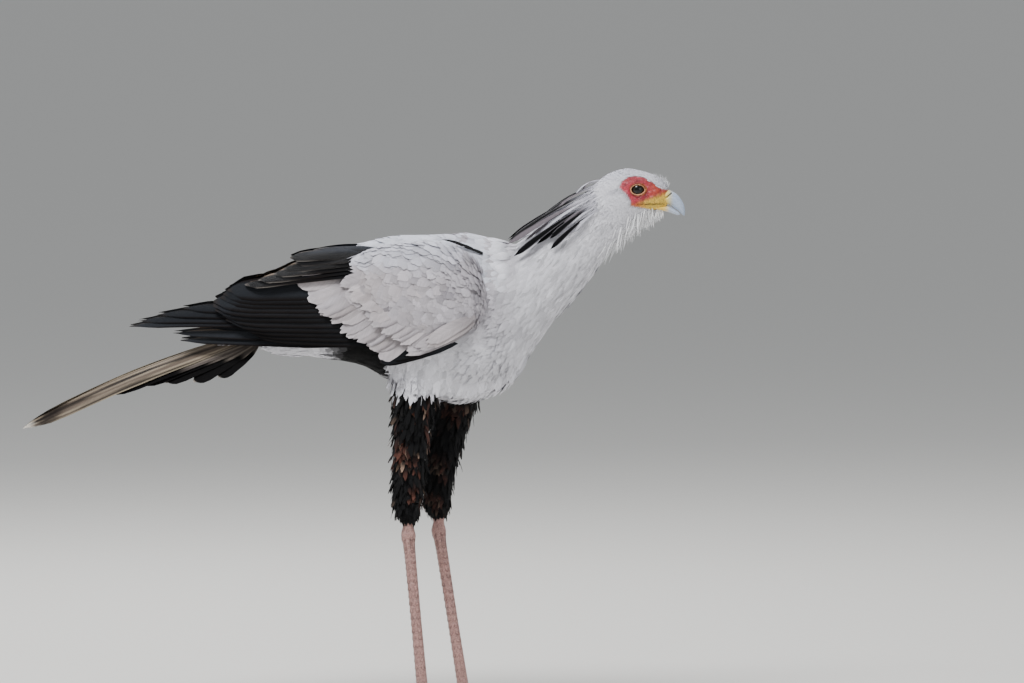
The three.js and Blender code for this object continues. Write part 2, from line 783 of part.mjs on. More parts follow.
// The origin is on the floor, below the middle of the bird's length and width
const reach = new THREE.Box3().setFromObject(bird);
const middle = reach.getCenter(new THREE.Vector3());
bird.position.set(-middle.x, -middle.y, -reach.min.z);

export default bird;
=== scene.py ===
"""The looks of a life-size standing secretary bird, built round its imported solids.

The bird faces +X, its left side is +Y, and it stands on the floor at z = 0. Sizes here are in millimetres
in the bird's own frame and become metres when a mesh is made.
"""

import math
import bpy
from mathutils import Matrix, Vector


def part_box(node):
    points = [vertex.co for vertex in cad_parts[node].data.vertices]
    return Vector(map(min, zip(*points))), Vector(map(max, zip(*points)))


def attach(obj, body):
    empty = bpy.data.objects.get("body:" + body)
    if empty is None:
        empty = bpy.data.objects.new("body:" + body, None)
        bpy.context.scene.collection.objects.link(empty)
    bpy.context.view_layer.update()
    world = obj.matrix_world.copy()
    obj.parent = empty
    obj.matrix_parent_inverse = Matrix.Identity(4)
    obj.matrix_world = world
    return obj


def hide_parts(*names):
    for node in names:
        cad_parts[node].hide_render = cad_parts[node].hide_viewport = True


bl_info = {
    "name": "Standing Secretary Bird",
    "version": (1, 0, 0),
    "blender": (4, 5, 0),
    "location": "3D View > Sidebar > Bird",
    "description": "Dresses a standing secretary bird in skin, feathers, horn and scales",
    "category": "Add Mesh",
}

import bpy
import numpy as np
from mathutils import Vector

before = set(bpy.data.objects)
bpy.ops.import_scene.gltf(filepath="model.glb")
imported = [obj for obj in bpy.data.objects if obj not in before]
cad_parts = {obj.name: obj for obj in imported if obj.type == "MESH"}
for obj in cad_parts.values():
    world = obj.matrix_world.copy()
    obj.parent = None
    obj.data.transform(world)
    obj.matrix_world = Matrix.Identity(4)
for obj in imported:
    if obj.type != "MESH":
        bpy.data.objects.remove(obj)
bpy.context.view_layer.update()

MM = 0.001
SIDES = {"left": 1, "right": -1}

# The bird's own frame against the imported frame, read from the left eye, whose middle is at EYE_X
EYE_X, EYE_Z, EYE_RADIUS = 510.0, 951.0, 13.2
_eye_low, _eye_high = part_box("eye_left")
EYE_OUT = (_eye_low[1] + _eye_high[1]) / 2 / MM
SHIFT_X = (_eye_low[0] + _eye_high[0]) / 2 / MM - EYE_X

# Stations from the tail root to the forehead: top and bottom points in side view and half width
STATIONS = [
    ((-166, 718), (-172, 672), 21),
    ((-124, 758), (-130, 652), 38),
    ((-61, 806), (-54, 644), 60),
    ((16, 848), (20, 628), 82),
    ((83, 864), (92, 595), 96),
    ((155, 868), (155, 573), 102),
    ((218, 868), (223, 572), 99),
    ((263, 861), (283, 605), 88),
    ((297, 859), (328, 668), 73),
    ((326, 878), (365, 718), 61),
    ((356, 903), (403, 760), 52),
    ((385, 922), (437, 804), 45),
    ((412, 941), (464, 843), 40),
    ((437, 963), (486, 872), 37),
    ((461, 979), (504, 893), 34.5),
    ((490, 987), (519, 906), 31.5),
    ((518, 983), (534, 911), 28),
    ((542, 975), (549, 913), 22),
    ((559, 963), (560, 917), 14),
    ((566, 952), (566, 925), 8),
]

# The wing's covert-clad arm: place along X, top and bottom heights and how far out its face lies
ARM = [
    (238, 776, 734, 96),
    (228, 812, 708, 110),
    (200, 840, 686, 120),
    (160, 854, 668, 126),
    (110, 858, 655, 127),
    (60, 852, 662, 121),
    (10, 836, 692, 108),
    (-35, 812, 735, 92),
]
ARM_LENGTH = ARM[0][0] - ARM[-1][0]
# How far the arm's upper and lower edges lie inside its face
ARM_DEPTH = 46

# Each leg's points in side view, and how far its thigh bows forward
LEGS = {
    "left": {"hip": (196, 640), "bend": -9, "ankle": (152, 330), "foot": (200, 22)},
    "right": {"hip": (112, 640), "bend": -4, "ankle": (98, 330), "foot": (126, 22)},
}
# How far out the legs stand, the height at which the thighs' feathers end, and that of the toes' middle
LEG_OUT = 46
THIGH_END = 368
SOLE = 6.4
# Each toe's degrees turned outwards, its length and half width, and the length of its claw
TOES = {
    "inner": {"turn": -32, "length": 44, "half": 8.4, "claw": 20},
    "middle": {"turn": 2, "length": 58, "half": 8.6, "claw": 19},
    "outer": {"turn": 34, "length": 43, "half": 7.8, "claw": 17},
    "hind": {"turn": 176, "length": 26, "half": 7.2, "claw": 21},
}

# The bill's two halves from base to tip, in the same terms as the stations
CULMEN = [
    ((556, 955), (553, 924.6), 13),
    ((567, 949), (563, 923.4), 11.8),
    ((574, 945.5), (568, 921.8), 10.6),
    ((581, 941), (573, 918.6), 9.3),
    ((588.5, 932), (578.5, 914.8), 7.6),
    ((593.5, 922), (583.5, 911.6), 5.8),
    ((595.4, 912), (586.6, 908.6), 3.8),
    ((595.2, 905.6), (590, 905.2), 2),
    ((594.4, 902.6), (592.6, 903), 0.7),
]
MANDIBLE = [
    ((541, 922.2), (541, 913.6), 11.6),
    ((555, 921.4), (556, 911.8), 10.8),
    ((566, 920), (568, 908.6), 9),
    ((573, 916.6), (575.5, 905.6), 6.8),
    ((580, 911.8), (582.5, 903.8), 4.4),
    ((584.6, 908.6), (586.6, 904.6), 2),
]
# The nostril's slit in side view
NOSTRIL = ((562.0, 936.0), (571.0, 943.0))

# The bare face in side view, from behind the eye over it to the bill, and back under it to the gape
FACE_OUTLINE = [
    (476.8, 955), (482, 966.5), (494, 974), (508, 975.5), (525, 971.5), (539, 962.5), (549, 954),
    (560, 950), (572, 950), (575, 935), (566, 909), (545, 911.5), (526, 915.5), (508, 919.5), (497, 921.5),
    (497, 931), (489, 943),
]
MOUTH_LINE = [(509, 925.4), (518, 924.4), (530, 924.2), (545, 924.2), (558, 923.4)]


# Colours and numbers


def linear(colour):
    """An sRGB hex colour as linear red, green and blue."""
    channels = [int(colour[k : k + 2], 16) / 255 for k in (1, 3, 5)]
    return np.array([c / 12.92 if c < 0.04045 else ((c + 0.055) / 1.055) ** 2.4 for c in channels])


def catmull(points, t):
    """Points on a centripetal Catmull-Rom curve through points, at t from 0 to 1."""
    p = np.asarray(points, float)
    if p.ndim == 1:
        p = p[:, None]
    last = len(p) - 1
    p = np.vstack([2 * p[0] - p[1], p, 2 * p[-1] - p[-2]])
    place = np.clip(np.atleast_1d(t), 0, 1) * last
    k = np.minimum(place.astype(int), last - 1)
    w = (place - k)[:, None]
    p0, p1, p2, p3 = p[k], p[k + 1], p[k + 2], p[k + 3]
    pairs = ((p0, p1), (p1, p2), (p2, p3))
    steps = [np.sqrt(np.linalg.norm(b - a, axis=1, keepdims=True)) for a, b in pairs]
    d1 = np.where(steps[1] < 1e-4, 1, steps[1])
    d0 = np.where(steps[0] < 1e-4, d1, steps[0])
    d2 = np.where(steps[2] < 1e-4, d1, steps[2])
    m1 = ((p1 - p0) / d0 - (p2 - p0) / (d0 + d1) + (p2 - p1) / d1) * d1
    m2 = ((p2 - p1) / d1 - (p3 - p1) / (d1 + d2) + (p3 - p2) / d2) * d1
    cube = 2 * p1 - 2 * p2 + m1 + m2
    square = -3 * p1 + 3 * p2 - 2 * m1 - m2
    return p1 + m1 * w + square * w**2 + cube * w**3


def unit(v):
    """Vectors scaled to a length of 1."""
    return v / np.maximum(np.linalg.norm(v, axis=-1, keepdims=True), 1e-9)


def smooth(low, high, x):
    """A soft step from 0 at low to 1 at high, where high may be the smaller."""
    t = np.clip((x - low) / (high - low), 0, 1)
    return t * t * (3 - 2 * t)


def inside(outline, x, z):
    """Whether points lie in a closed outline."""
    result = np.zeros(np.shape(x), bool)
    for (x0, z0), (x1, z1) in zip(outline, outline[1:] + outline[:1]):
        crosses = (z0 > z) != (z1 > z)
        with np.errstate(divide="ignore", invalid="ignore"):
            at = (x1 - x0) * (z - z0) / (z1 - z0) + x0
        result ^= crosses & (x < at)
    return result


def line_distance(line, x, z):
    """Distance to an open line."""
    best = np.full(np.shape(x), 1e9)
    for (x0, z0), (x1, z1) in zip(line, line[1:]):
        along = np.array([x1 - x0, z1 - z0], float)
        t = np.clip(((x - x0) * along[0] + (z - z0) * along[1]) / (along @ along), 0, 1)
        best = np.minimum(best, np.hypot(x - x0 - t * along[0], z - z0 - t * along[1]))
    return best


def edge_distance(outline, x, z):
    """Distance to a closed outline, negative inside it."""
    best = line_distance(outline + outline[:1], x, z)
    return np.where(inside(outline, x, z), -best, best)


# Surfaces


class Loft:
    """A form over stations, each with a top, a bottom and a half width."""

    def __init__(self, stations):
        self.tops = [s[0] for s in stations]
        self.bottoms = [s[1] for s in stations]
        self.halves = [s[2] for s in stations]
        self.count = len(stations) - 1

    def point(self, station, angle, grow=0.0):
        """Angle 0 is the top and a quarter turn the bird's left."""
        station, angle, grow = np.broadcast_arrays(
            np.asarray(station, float), np.asarray(angle, float), np.asarray(grow, float)
        )
        shape = station.shape
        t = station.ravel() / self.count
        top, bottom = catmull(self.tops, t), catmull(self.bottoms, t)
        half = catmull(self.halves, t)[:, 0]
        middle, up = (top + bottom) / 2, (top - bottom) / 2
        tall = np.linalg.norm(up, axis=1)
        a, g = angle.ravel(), grow.ravel()
        rise = np.cos(a) * (tall + g) / tall
        out = np.stack(
            [middle[:, 0] + up[:, 0] * rise, np.sin(a) * (half + g), middle[:, 1] + up[:, 1] * rise], 1
        )
        return out.reshape(shape + (3,))

    def normal(self, station, angle):
        ahead = self.point(station + 0.05, angle) - self.point(station - 0.05, angle)
        around = self.point(station, angle + 0.02) - self.point(station, angle - 0.02)
        return unit(np.cross(ahead, around))

    def forward(self, station, angle):
        return unit(self.point(station + 0.05, angle) - self.point(station - 0.05, angle))


BODY = Loft(STATIONS)
UPPER_BILL = Loft(CULMEN)
LOWER_BILL = Loft(MANDIBLE)


def arm_ring(t):
    """Place along X, how far out the face lies, and top and bottom heights of the arm at t."""
    ring = catmull([(x, out, top, bottom) for x, top, bottom, out in ARM], t)
    return ring[:, 0], ring[:, 1], ring[:, 2], ring[:, 3]


def arm_point(t, angle, grow=0.0):
    """The arm's surface on the left: t runs from wrist to elbow and angle up from straight out."""
    x, out, top, bottom = arm_ring(np.ravel(t))
    middle, tall = (top + bottom) / 2, (top - bottom) / 2
    a = np.ravel(angle)
    y = out - ARM_DEPTH * (1 - np.cos(a)) + grow * np.cos(a)
    return np.stack([x, y, middle + (tall + grow) * np.sin(a)], 1)


# Meshes


def place_mesh(name, points, faces):
    """A mesh object from points in millimetres in the bird's own frame."""
    mesh = bpy.data.meshes.new(name)
    moved = (np.asarray(points, float) + np.array([SHIFT_X, 0, 0])) * MM
    faces = np.asarray(faces, np.int32)
    sides = faces.shape[1]
    mesh.vertices.add(len(moved))
    mesh.vertices.foreach_set("co", moved.ravel())
    mesh.loops.add(faces.size)
    mesh.loops.foreach_set("vertex_index", faces.ravel())
    mesh.polygons.add(len(faces))
    mesh.polygons.foreach_set("loop_start", np.arange(0, faces.size, sides, dtype=np.int32))
    mesh.polygons.foreach_set("use_smooth", np.full(len(faces), True))
    mesh.update(calc_edges=True)
    piece = bpy.data.objects.new(name, mesh)
    bpy.context.collection.objects.link(piece)
    return piece


def ring_faces(rings, around, closed=False):
    """Quads between each ring of around points and the next, and from the last to the first if closed."""
    k = np.arange(around)
    following = (k + 1) % around
    faces = []
    for ring in range(rings if closed else rings - 1):
        a, b = ring * around + k, ring * around + following
        faces.append(np.stack([a, b, b + around, a + around], 1))
    return np.concatenate(faces) % (rings * around)


def tube(name, rings):
    """A closed skin over rings, an array of ring by point by coordinate, with domed end fans."""
    count, around = rings.shape[:2]
    faces = ring_faces(count, around)
    points = rings.reshape(-1, 3)
    ends = np.stack([rings[0].mean(0), rings[-1].mean(0)])
    k = np.arange(around)
    following = (k + 1) % around
    start = np.stack([np.full(around, len(points)), following, k, k], 1)
    last = (count - 1) * around
    end = np.stack([np.full(around, len(points) + 1), last + k, last + following, last + following], 1)
    piece = place_mesh(name, np.vstack([points, ends]), np.vstack([faces, start, end]))
    clean(piece)
    return piece


def clean(piece):
    """Merges doubled points and turns every face outwards."""
    select_only(piece)
    bpy.ops.object.mode_set(mode="EDIT")
    bpy.ops.mesh.select_all(action="SELECT")
    bpy.ops.mesh.remove_doubles(threshold=0.00001)
    bpy.ops.mesh.dissolve_degenerate(threshold=0.00001)
    bpy.ops.mesh.normals_make_consistent(inside=False)
    bpy.ops.object.mode_set(mode="OBJECT")


def select_only(*pieces):
    bpy.ops.object.select_all(action="DESELECT")
    for piece in pieces:
        piece.select_set(True)
    bpy.context.view_layer.objects.active = pieces[0]


def apply_modifier(piece, kind, **settings):
    select_only(piece)
    modifier = piece.modifiers.new(kind.title(), kind)
    for key, value in settings.items():
        setattr(modifier, key, value)
    bpy.ops.object.modifier_apply(modifier=modifier.name)


def join(name, pieces):
    select_only(*pieces)
    bpy.ops.object.join()
    joined = bpy.context.view_layer.objects.active
    joined.name = name
    joined.data.name = name
    return joined


def coordinates(piece):
    """A mesh's points in millimetres in the bird's own frame."""
    flat = np.empty(len(piece.data.vertices) * 3)
    piece.data.vertices.foreach_get("co", flat)
    return flat.reshape(-1, 3) / MM - np.array([SHIFT_X, 0, 0])


def set_tint(piece, colours):
    """Writes one linear colour for each point to the attribute that the materials read."""
    tint = piece.data.attributes.new("Tint", "FLOAT_COLOR", "POINT")
    rgba = np.ones((len(piece.data.vertices), 4))
    rgba[:, :3] = colours
    tint.data.foreach_set("color", rgba.ravel())


def move_points(piece, points):
    """Puts a mesh's points at places in millimetres in the bird's own frame."""
    piece.data.vertices.foreach_set("co", ((points + np.array([SHIFT_X, 0, 0])) * MM).ravel())
    piece.data.update()


def set_number(piece, name, values):
    attribute = piece.data.attributes.new(name, "FLOAT", "POINT")
    attribute.data.foreach_set("value", np.asarray(values, float))


def finish_piece(piece, material, slot, *nodes):
    """Gives a piece one of MATERIALS and its body, and hides the solids that it replaces. slot is not used.
    """
    piece.data.materials.clear()
    piece.data.materials.append(MATERIALS[material])
    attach(piece, "root")
    if nodes:
        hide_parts(*nodes)


# Feathers

BAKE_PATCH = 0.003

# Share of the full width along a feather
OUTLINES = {
    "body": ([0, 0.15, 0.5, 0.8, 1], [0.35, 0.8, 1, 0.85, 0.4]),
    "flight": ([0, 0.1, 0.25, 0.5, 0.8, 0.93, 1], [0.28, 0.6, 0.88, 1, 0.95, 0.72, 0.3]),
    "primary": ([0, 0.1, 0.3, 0.5, 0.62, 0.8, 0.93, 1], [0.28, 0.6, 0.95, 1, 0.82, 0.6, 0.42, 0.12]),
    "covert": ([0, 0.2, 0.6, 0.85, 0.95, 1], [0.4, 0.85, 1, 0.9, 0.68, 0.38]),
    "crest": ([0, 0.3, 0.6, 0.8, 0.93, 1], [0.16, 0.3, 0.75, 1, 0.75, 0.2]),
    "lock": ([0, 0.35, 0.75, 1], [0.9, 0.85, 0.5, 0.06]),
    "plume": ([0, 0.2, 0.6, 0.9, 1], [0.35, 0.9, 1, 0.6, 0.25]),
}


class Vanes:
    """A growing list of feathers, which become one mesh of thin closed vanes."""

    def __init__(self, rows, cols):
        self.rows = rows
        self.spread = np.linspace(-1, 1, cols + 1)
        self.parts = []

    def add(self, roots, tips, faces, widths, outline, places, tints, **shape):
        """Adds feathers, whose linear colours come from tints(k, v, u).

        There k numbers the feathers, v runs from 0 at the root to 1 at the tip, and u from -1 to 1 across.
        bow lifts the middle of each feather along its face, and arch lifts it straight up. tilt turns it
        about its line, camber lowers its edges by that share of its width, and sweep bends its tip
        sideways. jag frays its tip, shaft is the place of its rachis across it, and places are where its
        root lies on the skin's own map.
        """
        roots, tips, faces = (np.atleast_2d(np.asarray(v, float)) for v in (roots, tips, faces))
        count = len(roots)
        faces = unit(np.broadcast_to(faces, roots.shape))

        def given(key, default=0.0):
            return np.broadcast_to(np.asarray(shape.get(key, default), float), (count,))[:, None, None]

        v = np.linspace(0, 1, self.rows + 1)[None, :, None]
        u = self.spread[None, None, :]
        rng = np.random.default_rng(shape.get("seed", 1))
        fray = rng.uniform(0, 1, (count, 1, len(self.spread))) * given("jag")
        round_tip = given("round_tip", 0.1) * u**2
        v = v * (1 - (fray + round_tip) * v**3)
        share = np.interp(v, *OUTLINES[outline])
        middle = (roots + tips) / 2 + faces * 2 * given("bow")[:, :, 0]
        middle = middle + np.array([0, 0, 2]) * given("arch")[:, :, 0]
        r, m, t = (w[:, None, None, :] for w in (roots, middle, tips))
        w = v[..., None]
        line = r * (1 - w) ** 2 + m * 2 * w * (1 - w) + t * w**2
        along = unit((m - r) * (1 - w) + (t - m) * w)
        face = np.broadcast_to(faces[:, None, None, :], along.shape)
        if "faces_tip" in shape:
            tip_face = unit(np.asarray(shape["faces_tip"], float))[:, None, None, :]
            face = unit(face * (1 - w) + tip_face * w)
        side = unit(np.cross(along, face))
        tilt = given("tilt")[..., None]
        side = side * np.cos(tilt) - np.cross(side, along) * np.sin(tilt)
        over = np.cross(side, along)
        width = np.broadcast_to(np.asarray(widths, float), (count,))[:, None, None]
        half = width / 2 * share
        dip = -given("camber") * width * (u - given("shaft")) ** 2 * share
        ripple = given("ripple") * np.sin(rng.uniform(0, 6.28, (count, 1, 1)) + v * 9 + u * 2) * share
        length = np.linalg.norm(tips - roots, axis=1)[:, None, None]
        bend = given("sweep") * length * v**2
        points = line + side * (u * half + bend)[..., None] + over * (dip + ripple)[..., None]
        thick = given("thick", 0.4) * (1 - u**2) * np.sin(np.pi * np.clip(v, 0.02, 0.985)) ** 0.5
        ridge = given("ridge") * np.exp(-(((u - given("shaft")) / 0.07) ** 2)) * (1 - 0.8 * v)
        colours = tints(np.arange(count)[:, None, None], v, u)
        grid = points.shape[:3]
        places = np.broadcast_to(np.asarray(places, float), (count, 2))[:, None, None, :]
        patch = np.stack(np.broadcast_arrays(u / 2, v - 0.5), -1) * BAKE_PATCH + places
        vane = np.stack(np.broadcast_arrays((u - given("shaft")) * half, v * length), -1) / VANE_UNIT
        seeds = np.broadcast_to(rng.uniform(0, 100, (count, 1, 1)), grid)
        self.parts.append(
            {
                "top": points + over * ridge[..., None],
                "under": points - over * thick[..., None],
                "tint": np.broadcast_to(colours, grid + (3,)),
                "patch": np.broadcast_to(patch, grid + (2,)),
                "vane": np.broadcast_to(vane, grid + (2,)),
                "seed": seeds,
            }
        )

    def build(self, name):
        def joined(key):
            return np.concatenate([part[key] for part in self.parts])

        def doubled(key, size):
            """Values for the upper side's points and the same for the under side's."""
            return np.tile(joined(key).reshape(-1, size), (2, 1))

        top, under = joined("top"), joined("under")
        count, rows, cols = top.shape[:3]
        i, j = np.meshgrid(np.arange(rows - 1), np.arange(cols - 1), indexing="ij")
        a = (i * cols + j).ravel()
        quad = np.stack([a, a + 1, a + cols + 1, a + cols], 1)
        starts = (np.arange(count) * rows * cols)[:, None, None]
        upper = (quad[None] + starts).reshape(-1, 4)
        lower = upper[:, ::-1] + count * rows * cols
        points = np.vstack([top.reshape(-1, 3), under.reshape(-1, 3)])
        piece = place_mesh(name, points, np.vstack([upper, lower]))
        set_tint(piece, doubled("tint", 3))
        set_number(piece, "Seed", doubled("seed", 1)[:, 0])
        corners = np.empty(len(piece.data.loops), np.int32)
        piece.data.loops.foreach_get("vertex_index", corners)
        for layer, key in (("OFBake", "patch"), ("Vane", "vane")):
            uv = piece.data.uv_layers.new(name=layer)
            uv.data.foreach_set("uv", doubled(key, 2)[corners].ravel())
        piece.data.uv_layers["OFBake"].active = True
        return piece


def mixed(a, b, share):
    """Linear colours between a and b, by an array of shares."""
    share = np.clip(share, 0, 1)[..., None]
    return np.asarray(a) * (1 - share) + np.asarray(b) * share


def painted_root_shade(v, u, dark, low, high, full=1.0):
    """A feather's brightness: painted shade at its hidden root, and full from a place along it outwards."""
    return (dark + (full - dark) * smooth(low, high, v) * np.ones_like(u))[..., None]


def even_tint(base, edge=None, tip=None, tip_from=0.85, spread=0.05, seed=3, root=None):
    """A colour for each feather round a base, with an edge and a tip colour of their own, and a darker root
    colour for painted shade at the hidden root.
    """

    def tint(k, v, u):
        rng = np.random.default_rng(seed)
        shade = 1 + spread * rng.standard_normal(int(k.max()) + 1)[k]
        colour = np.broadcast_to(np.asarray(base), np.broadcast_shapes(v.shape, u.shape) + (3,))
        if root is not None:
            colour = mixed(root, colour, smooth(0.05, 0.5, v) * np.ones_like(u))
        if edge is not None:
            colour = mixed(colour, edge, smooth(0.55, 1.0, np.abs(u)) * smooth(0.2, 0.5, v))
        if tip is not None:
            colour = mixed(colour, tip, smooth(tip_from, 1.0, v) * np.ones_like(u))
        return colour * shade[..., None]

    return tint


def cloud(points, pitch, seed):
    """Soft uneven patches over points, about -1 to 1, pitch millimetres from one to the next."""
    rng = np.random.default_rng(seed)
    waves = unit(rng.normal(0, 1, (7, 3))) * (2 * math.pi / pitch) * rng.uniform(0.6, 1.6, (7, 1))
    return np.sin(points @ waves.T + rng.uniform(0, 2 * math.pi, 7)).sum(1) / 3.2


def tier_lines(tier, side):
    """Roots, tips, faces and widths of a tier of vanes, mirrored to the side asked for."""
    count = tier["count"]
    t = np.linspace(0, 1, count)
    flip = np.array([1, side, 1])
    face = unit(np.array(tier["face"], float))
    stack = (tier["stack"] * np.arange(count))[:, None] * face
    roots = (catmull(tier["roots"], t) + stack) * flip
    tips = (catmull(tier["tips"], t) + stack) * flip
    rng = np.random.default_rng(tier["seed"])
    tips = tips + unit(tips - roots) * rng.uniform(-1, 1, (count, 1)) * tier.get("uneven", 2.5)
    widths = np.interp(t, [0, 1], tier["widths"])
    return roots, tips, face * flip, widths


# Settings that a user may change


class BIRD_PG_plumage(bpy.types.PropertyGroup):
    white: bpy.props.StringProperty(name="White", description="Neck and breast", default="#e4e3ea")
    grey: bpy.props.StringProperty(name="Grey", description="Back and wing coverts", default="#bdb8bf")
    buff: bpy.props.StringProperty(name="Buff", description="Warm cast of large coverts", default="#b3a9a8")
    black: bpy.props.StringProperty(name="Black", description="Crest, vent and thighs", default="#0b0b0d")
    brown: bpy.props.StringProperty(name="Brown", description="Edges of dark feathers", default="#54423a")
    body_spacing: bpy.props.FloatProperty(
        name="Body spacing", description="Between rows of body feathers, mm", default=7.8, min=3, max=20
    )


class BIRD_PG_bare(bpy.types.PropertyGroup):
    red: bpy.props.StringProperty(name="Red", description="Skin over and behind the eye", default="#c23c4d")
    orange: bpy.props.StringProperty(name="Orange", description="Skin before the eye", default="#d96f33")
    yellow: bpy.props.StringProperty(name="Yellow", description="Cere and gape", default="#f2c84f")
    horn: bpy.props.StringProperty(name="Horn", description="Bill", default="#a8b6cc")
    leg: bpy.props.StringProperty(name="Leg", description="Skin of the tarsus and foot", default="#b78f88")


class BIRD_PG_stage(bpy.types.PropertyGroup):
    floor: bpy.props.StringProperty(name="Floor", description="Floor, as a hex colour", default="#d9d7d2")
    distance: bpy.props.FloatProperty(
        name="Distance", description="From the camera to the bird", default=18.0, unit="LENGTH"
    )


def plumage():
    return bpy.context.scene.bird_plumage


def bare():
    return bpy.context.scene.bird_bare


# Materials

# The Vane map's unit in millimetres, and how far back a barb leaves the shaft for its distance from it
VANE_UNIT = 10.0
BARB_SLANT = 1.3
# How much a barb's two sides differ in brightness: painted light and shade across each barb
BARB_SHADE = 0.035
# How high the growth lines of horn stand
GROWTH_RELIEF = 0.15
# The range that most of a noise texture's values fall in
NOISE_SPAN = {"From Min": 0.3, "From Max": 0.7}


def add_node(material, kind, settings=None, inputs=None):
    """Adds a node, sets its own settings, and sets or links its inputs."""
    node = material.node_tree.nodes.new(kind)
    for key, value in (settings or {}).items():
        setattr(node, key, value)
    for key, value in (inputs or {}).items():
        socket = node.inputs[key]
        if isinstance(value, bpy.types.NodeSocket):
            material.node_tree.links.new(value, socket)
        else:
            socket.default_value = value
    return node


def new_material(name, roughness, ior=1.5, **extra):
    """A material and its shader, whose other inputs are named with _ for each space."""
    material = bpy.data.materials.new(name)
    material.use_nodes = True
    shader = material.node_tree.nodes["Principled BSDF"]
    shader.inputs["Roughness"].default_value = roughness
    shader.inputs["IOR"].default_value = ior
    for key, value in extra.items():
        shader.inputs[key.replace("_", " ")].default_value = value
    return material, shader


def link(material, output, target):
    material.node_tree.links.new(output, target)


def tint_and_emboss(material, shader, shade, height, relief, strength):
    """Scales the piece's own tint by a shade and raises its surface by a height, relief in millimetres."""
    tint = add_node(material, "ShaderNodeAttribute", {"attribute_name": "Tint"})
    colour = add_node(
        material,
        "ShaderNodeVectorMath",
        {"operation": "SCALE"},
        {0: tint.outputs["Color"], "Scale": shade},
    )
    bump = add_node(
        material, "ShaderNodeBump", inputs={"Height": height, "Distance": relief * MM, "Strength": strength}
    )
    link(material, colour.outputs[0], shader.inputs["Base Color"])
    link(material, bump.outputs[0], shader.inputs["Normal"])


def keratin_feather(name, barb_pitch, barb_relief, clump, roughness, sheen, specular):
    """Feather keratin: matt, with barbs that leave the shaft at a slant and part here and there.

    barb_pitch is the distance between barbs in millimetres, drawn coarser than the real 0.3 mm so that it
    shows, and clump is how much groups of barbs differ in brightness.
    """
    material, shader = new_material(
        name, roughness, 1.54, Specular_IOR_Level=specular, Sheen_Weight=sheen, Sheen_Roughness=0.5
    )
    seed = add_node(material, "ShaderNodeAttribute", {"attribute_name": "Seed"})
    vane = add_node(material, "ShaderNodeUVMap", {"uv_map": "Vane"})
    apart = add_node(material, "ShaderNodeSeparateXYZ", inputs={0: vane.outputs[0]})
    off_shaft = add_node(material, "ShaderNodeMath", {"operation": "ABSOLUTE"}, {0: apart.outputs[0]})
    slant = add_node(
        material,
        "ShaderNodeMath",
        {"operation": "MULTIPLY_ADD"},
        {0: off_shaft.outputs[0], 1: -BARB_SLANT, 2: apart.outputs[1]},
    )
    place = add_node(
        material,
        "ShaderNodeCombineXYZ",
        inputs={0: slant.outputs[0], 1: seed.outputs["Fac"], 2: apart.outputs[0]},
    )
    groups = add_node(
        material,
        "ShaderNodeMapping",
        inputs={"Vector": place.outputs[0], "Scale": (1.0, 1.0, 0.12)},
    )
    noise = add_node(
        material, "ShaderNodeTexNoise", inputs={"Vector": groups.outputs[0], "Scale": 3.2, "Detail": 3.0}
    )
    turns = add_node(
        material,
        "ShaderNodeMath",
        {"operation": "MULTIPLY"},
        {0: slant.outputs[0], 1: 2 * math.pi * VANE_UNIT / barb_pitch},
    )
    barbs = add_node(material, "ShaderNodeMath", {"operation": "SINE"}, {0: turns.outputs[0]})
    shade = add_node(
        material,
        "ShaderNodeMapRange",
        inputs={"Value": noise.outputs["Fac"], **NOISE_SPAN, "To Min": 1 - clump, "To Max": 1 + clump},
    )
    # Barbs painted lighter and darker in step with their relief: painted light and shade
    fine = add_node(
        material,
        "ShaderNodeMath",
        {"operation": "MULTIPLY_ADD"},
        {0: barbs.outputs[0], 1: BARB_SHADE, 2: shade.outputs[0]},
    )
    relief = add_node(
        material,
        "ShaderNodeMath",
        {"operation": "MULTIPLY_ADD"},
        {0: noise.outputs["Fac"], 1: 2.5, 2: barbs.outputs[0]},
    )
    tint_and_emboss(material, shader, fine.outputs[0], relief.outputs[0], barb_relief, 0.6)
    return material


def pebbled_skin(name, pitch, relief, roughness, mottle, subsurface):
    """Bare skin: satin, with fine papillae and creases, tinted by its attribute and mottled by blood."""
    material, shader = new_material(
        name, roughness, 1.42, Subsurface_Weight=subsurface, Subsurface_Scale=0.002
    )
    where = add_node(material, "ShaderNodeTexCoord")
    cells = add_node(
        material,
        "ShaderNodeTexVoronoi",
        {"feature": "SMOOTH_F1"},
        {"Vector": where.outputs["Object"], "Scale": 1000 / pitch, "Smoothness": 0.35},
    )
    creases = add_node(
        material,
        "ShaderNodeTexNoise",
        inputs={"Vector": where.outputs["Object"], "Scale": 220.0, "Detail": 5.0},
    )
    # Papillae painted lighter on their crowns and darker between them: painted light and shade
    shade = add_node(
        material,
        "ShaderNodeMapRange",
        inputs={
            "Value": cells.outputs["Distance"],
            "From Min": 0.1,
            "From Max": 0.75,
            "To Min": 1.15,
            "To Max": 0.55,
        },
    )
    blotch = add_node(
        material,
        "ShaderNodeMapRange",
        inputs={"Value": creases.outputs["Fac"], **NOISE_SPAN, "To Min": 1 - mottle, "To Max": 1 + mottle},
    )
    both = add_node(
        material, "ShaderNodeMath", {"operation": "MULTIPLY"}, {0: shade.outputs[0], 1: blotch.outputs[0]}
    )
    height = add_node(
        material,
        "ShaderNodeMath",
        {"operation": "MULTIPLY_ADD"},
        {0: cells.outputs["Distance"], 1: -1.0, 2: creases.outputs["Fac"]},
    )
    tint_and_emboss(material, shader, both.outputs[0], height.outputs[0], relief, 0.7)
    return material


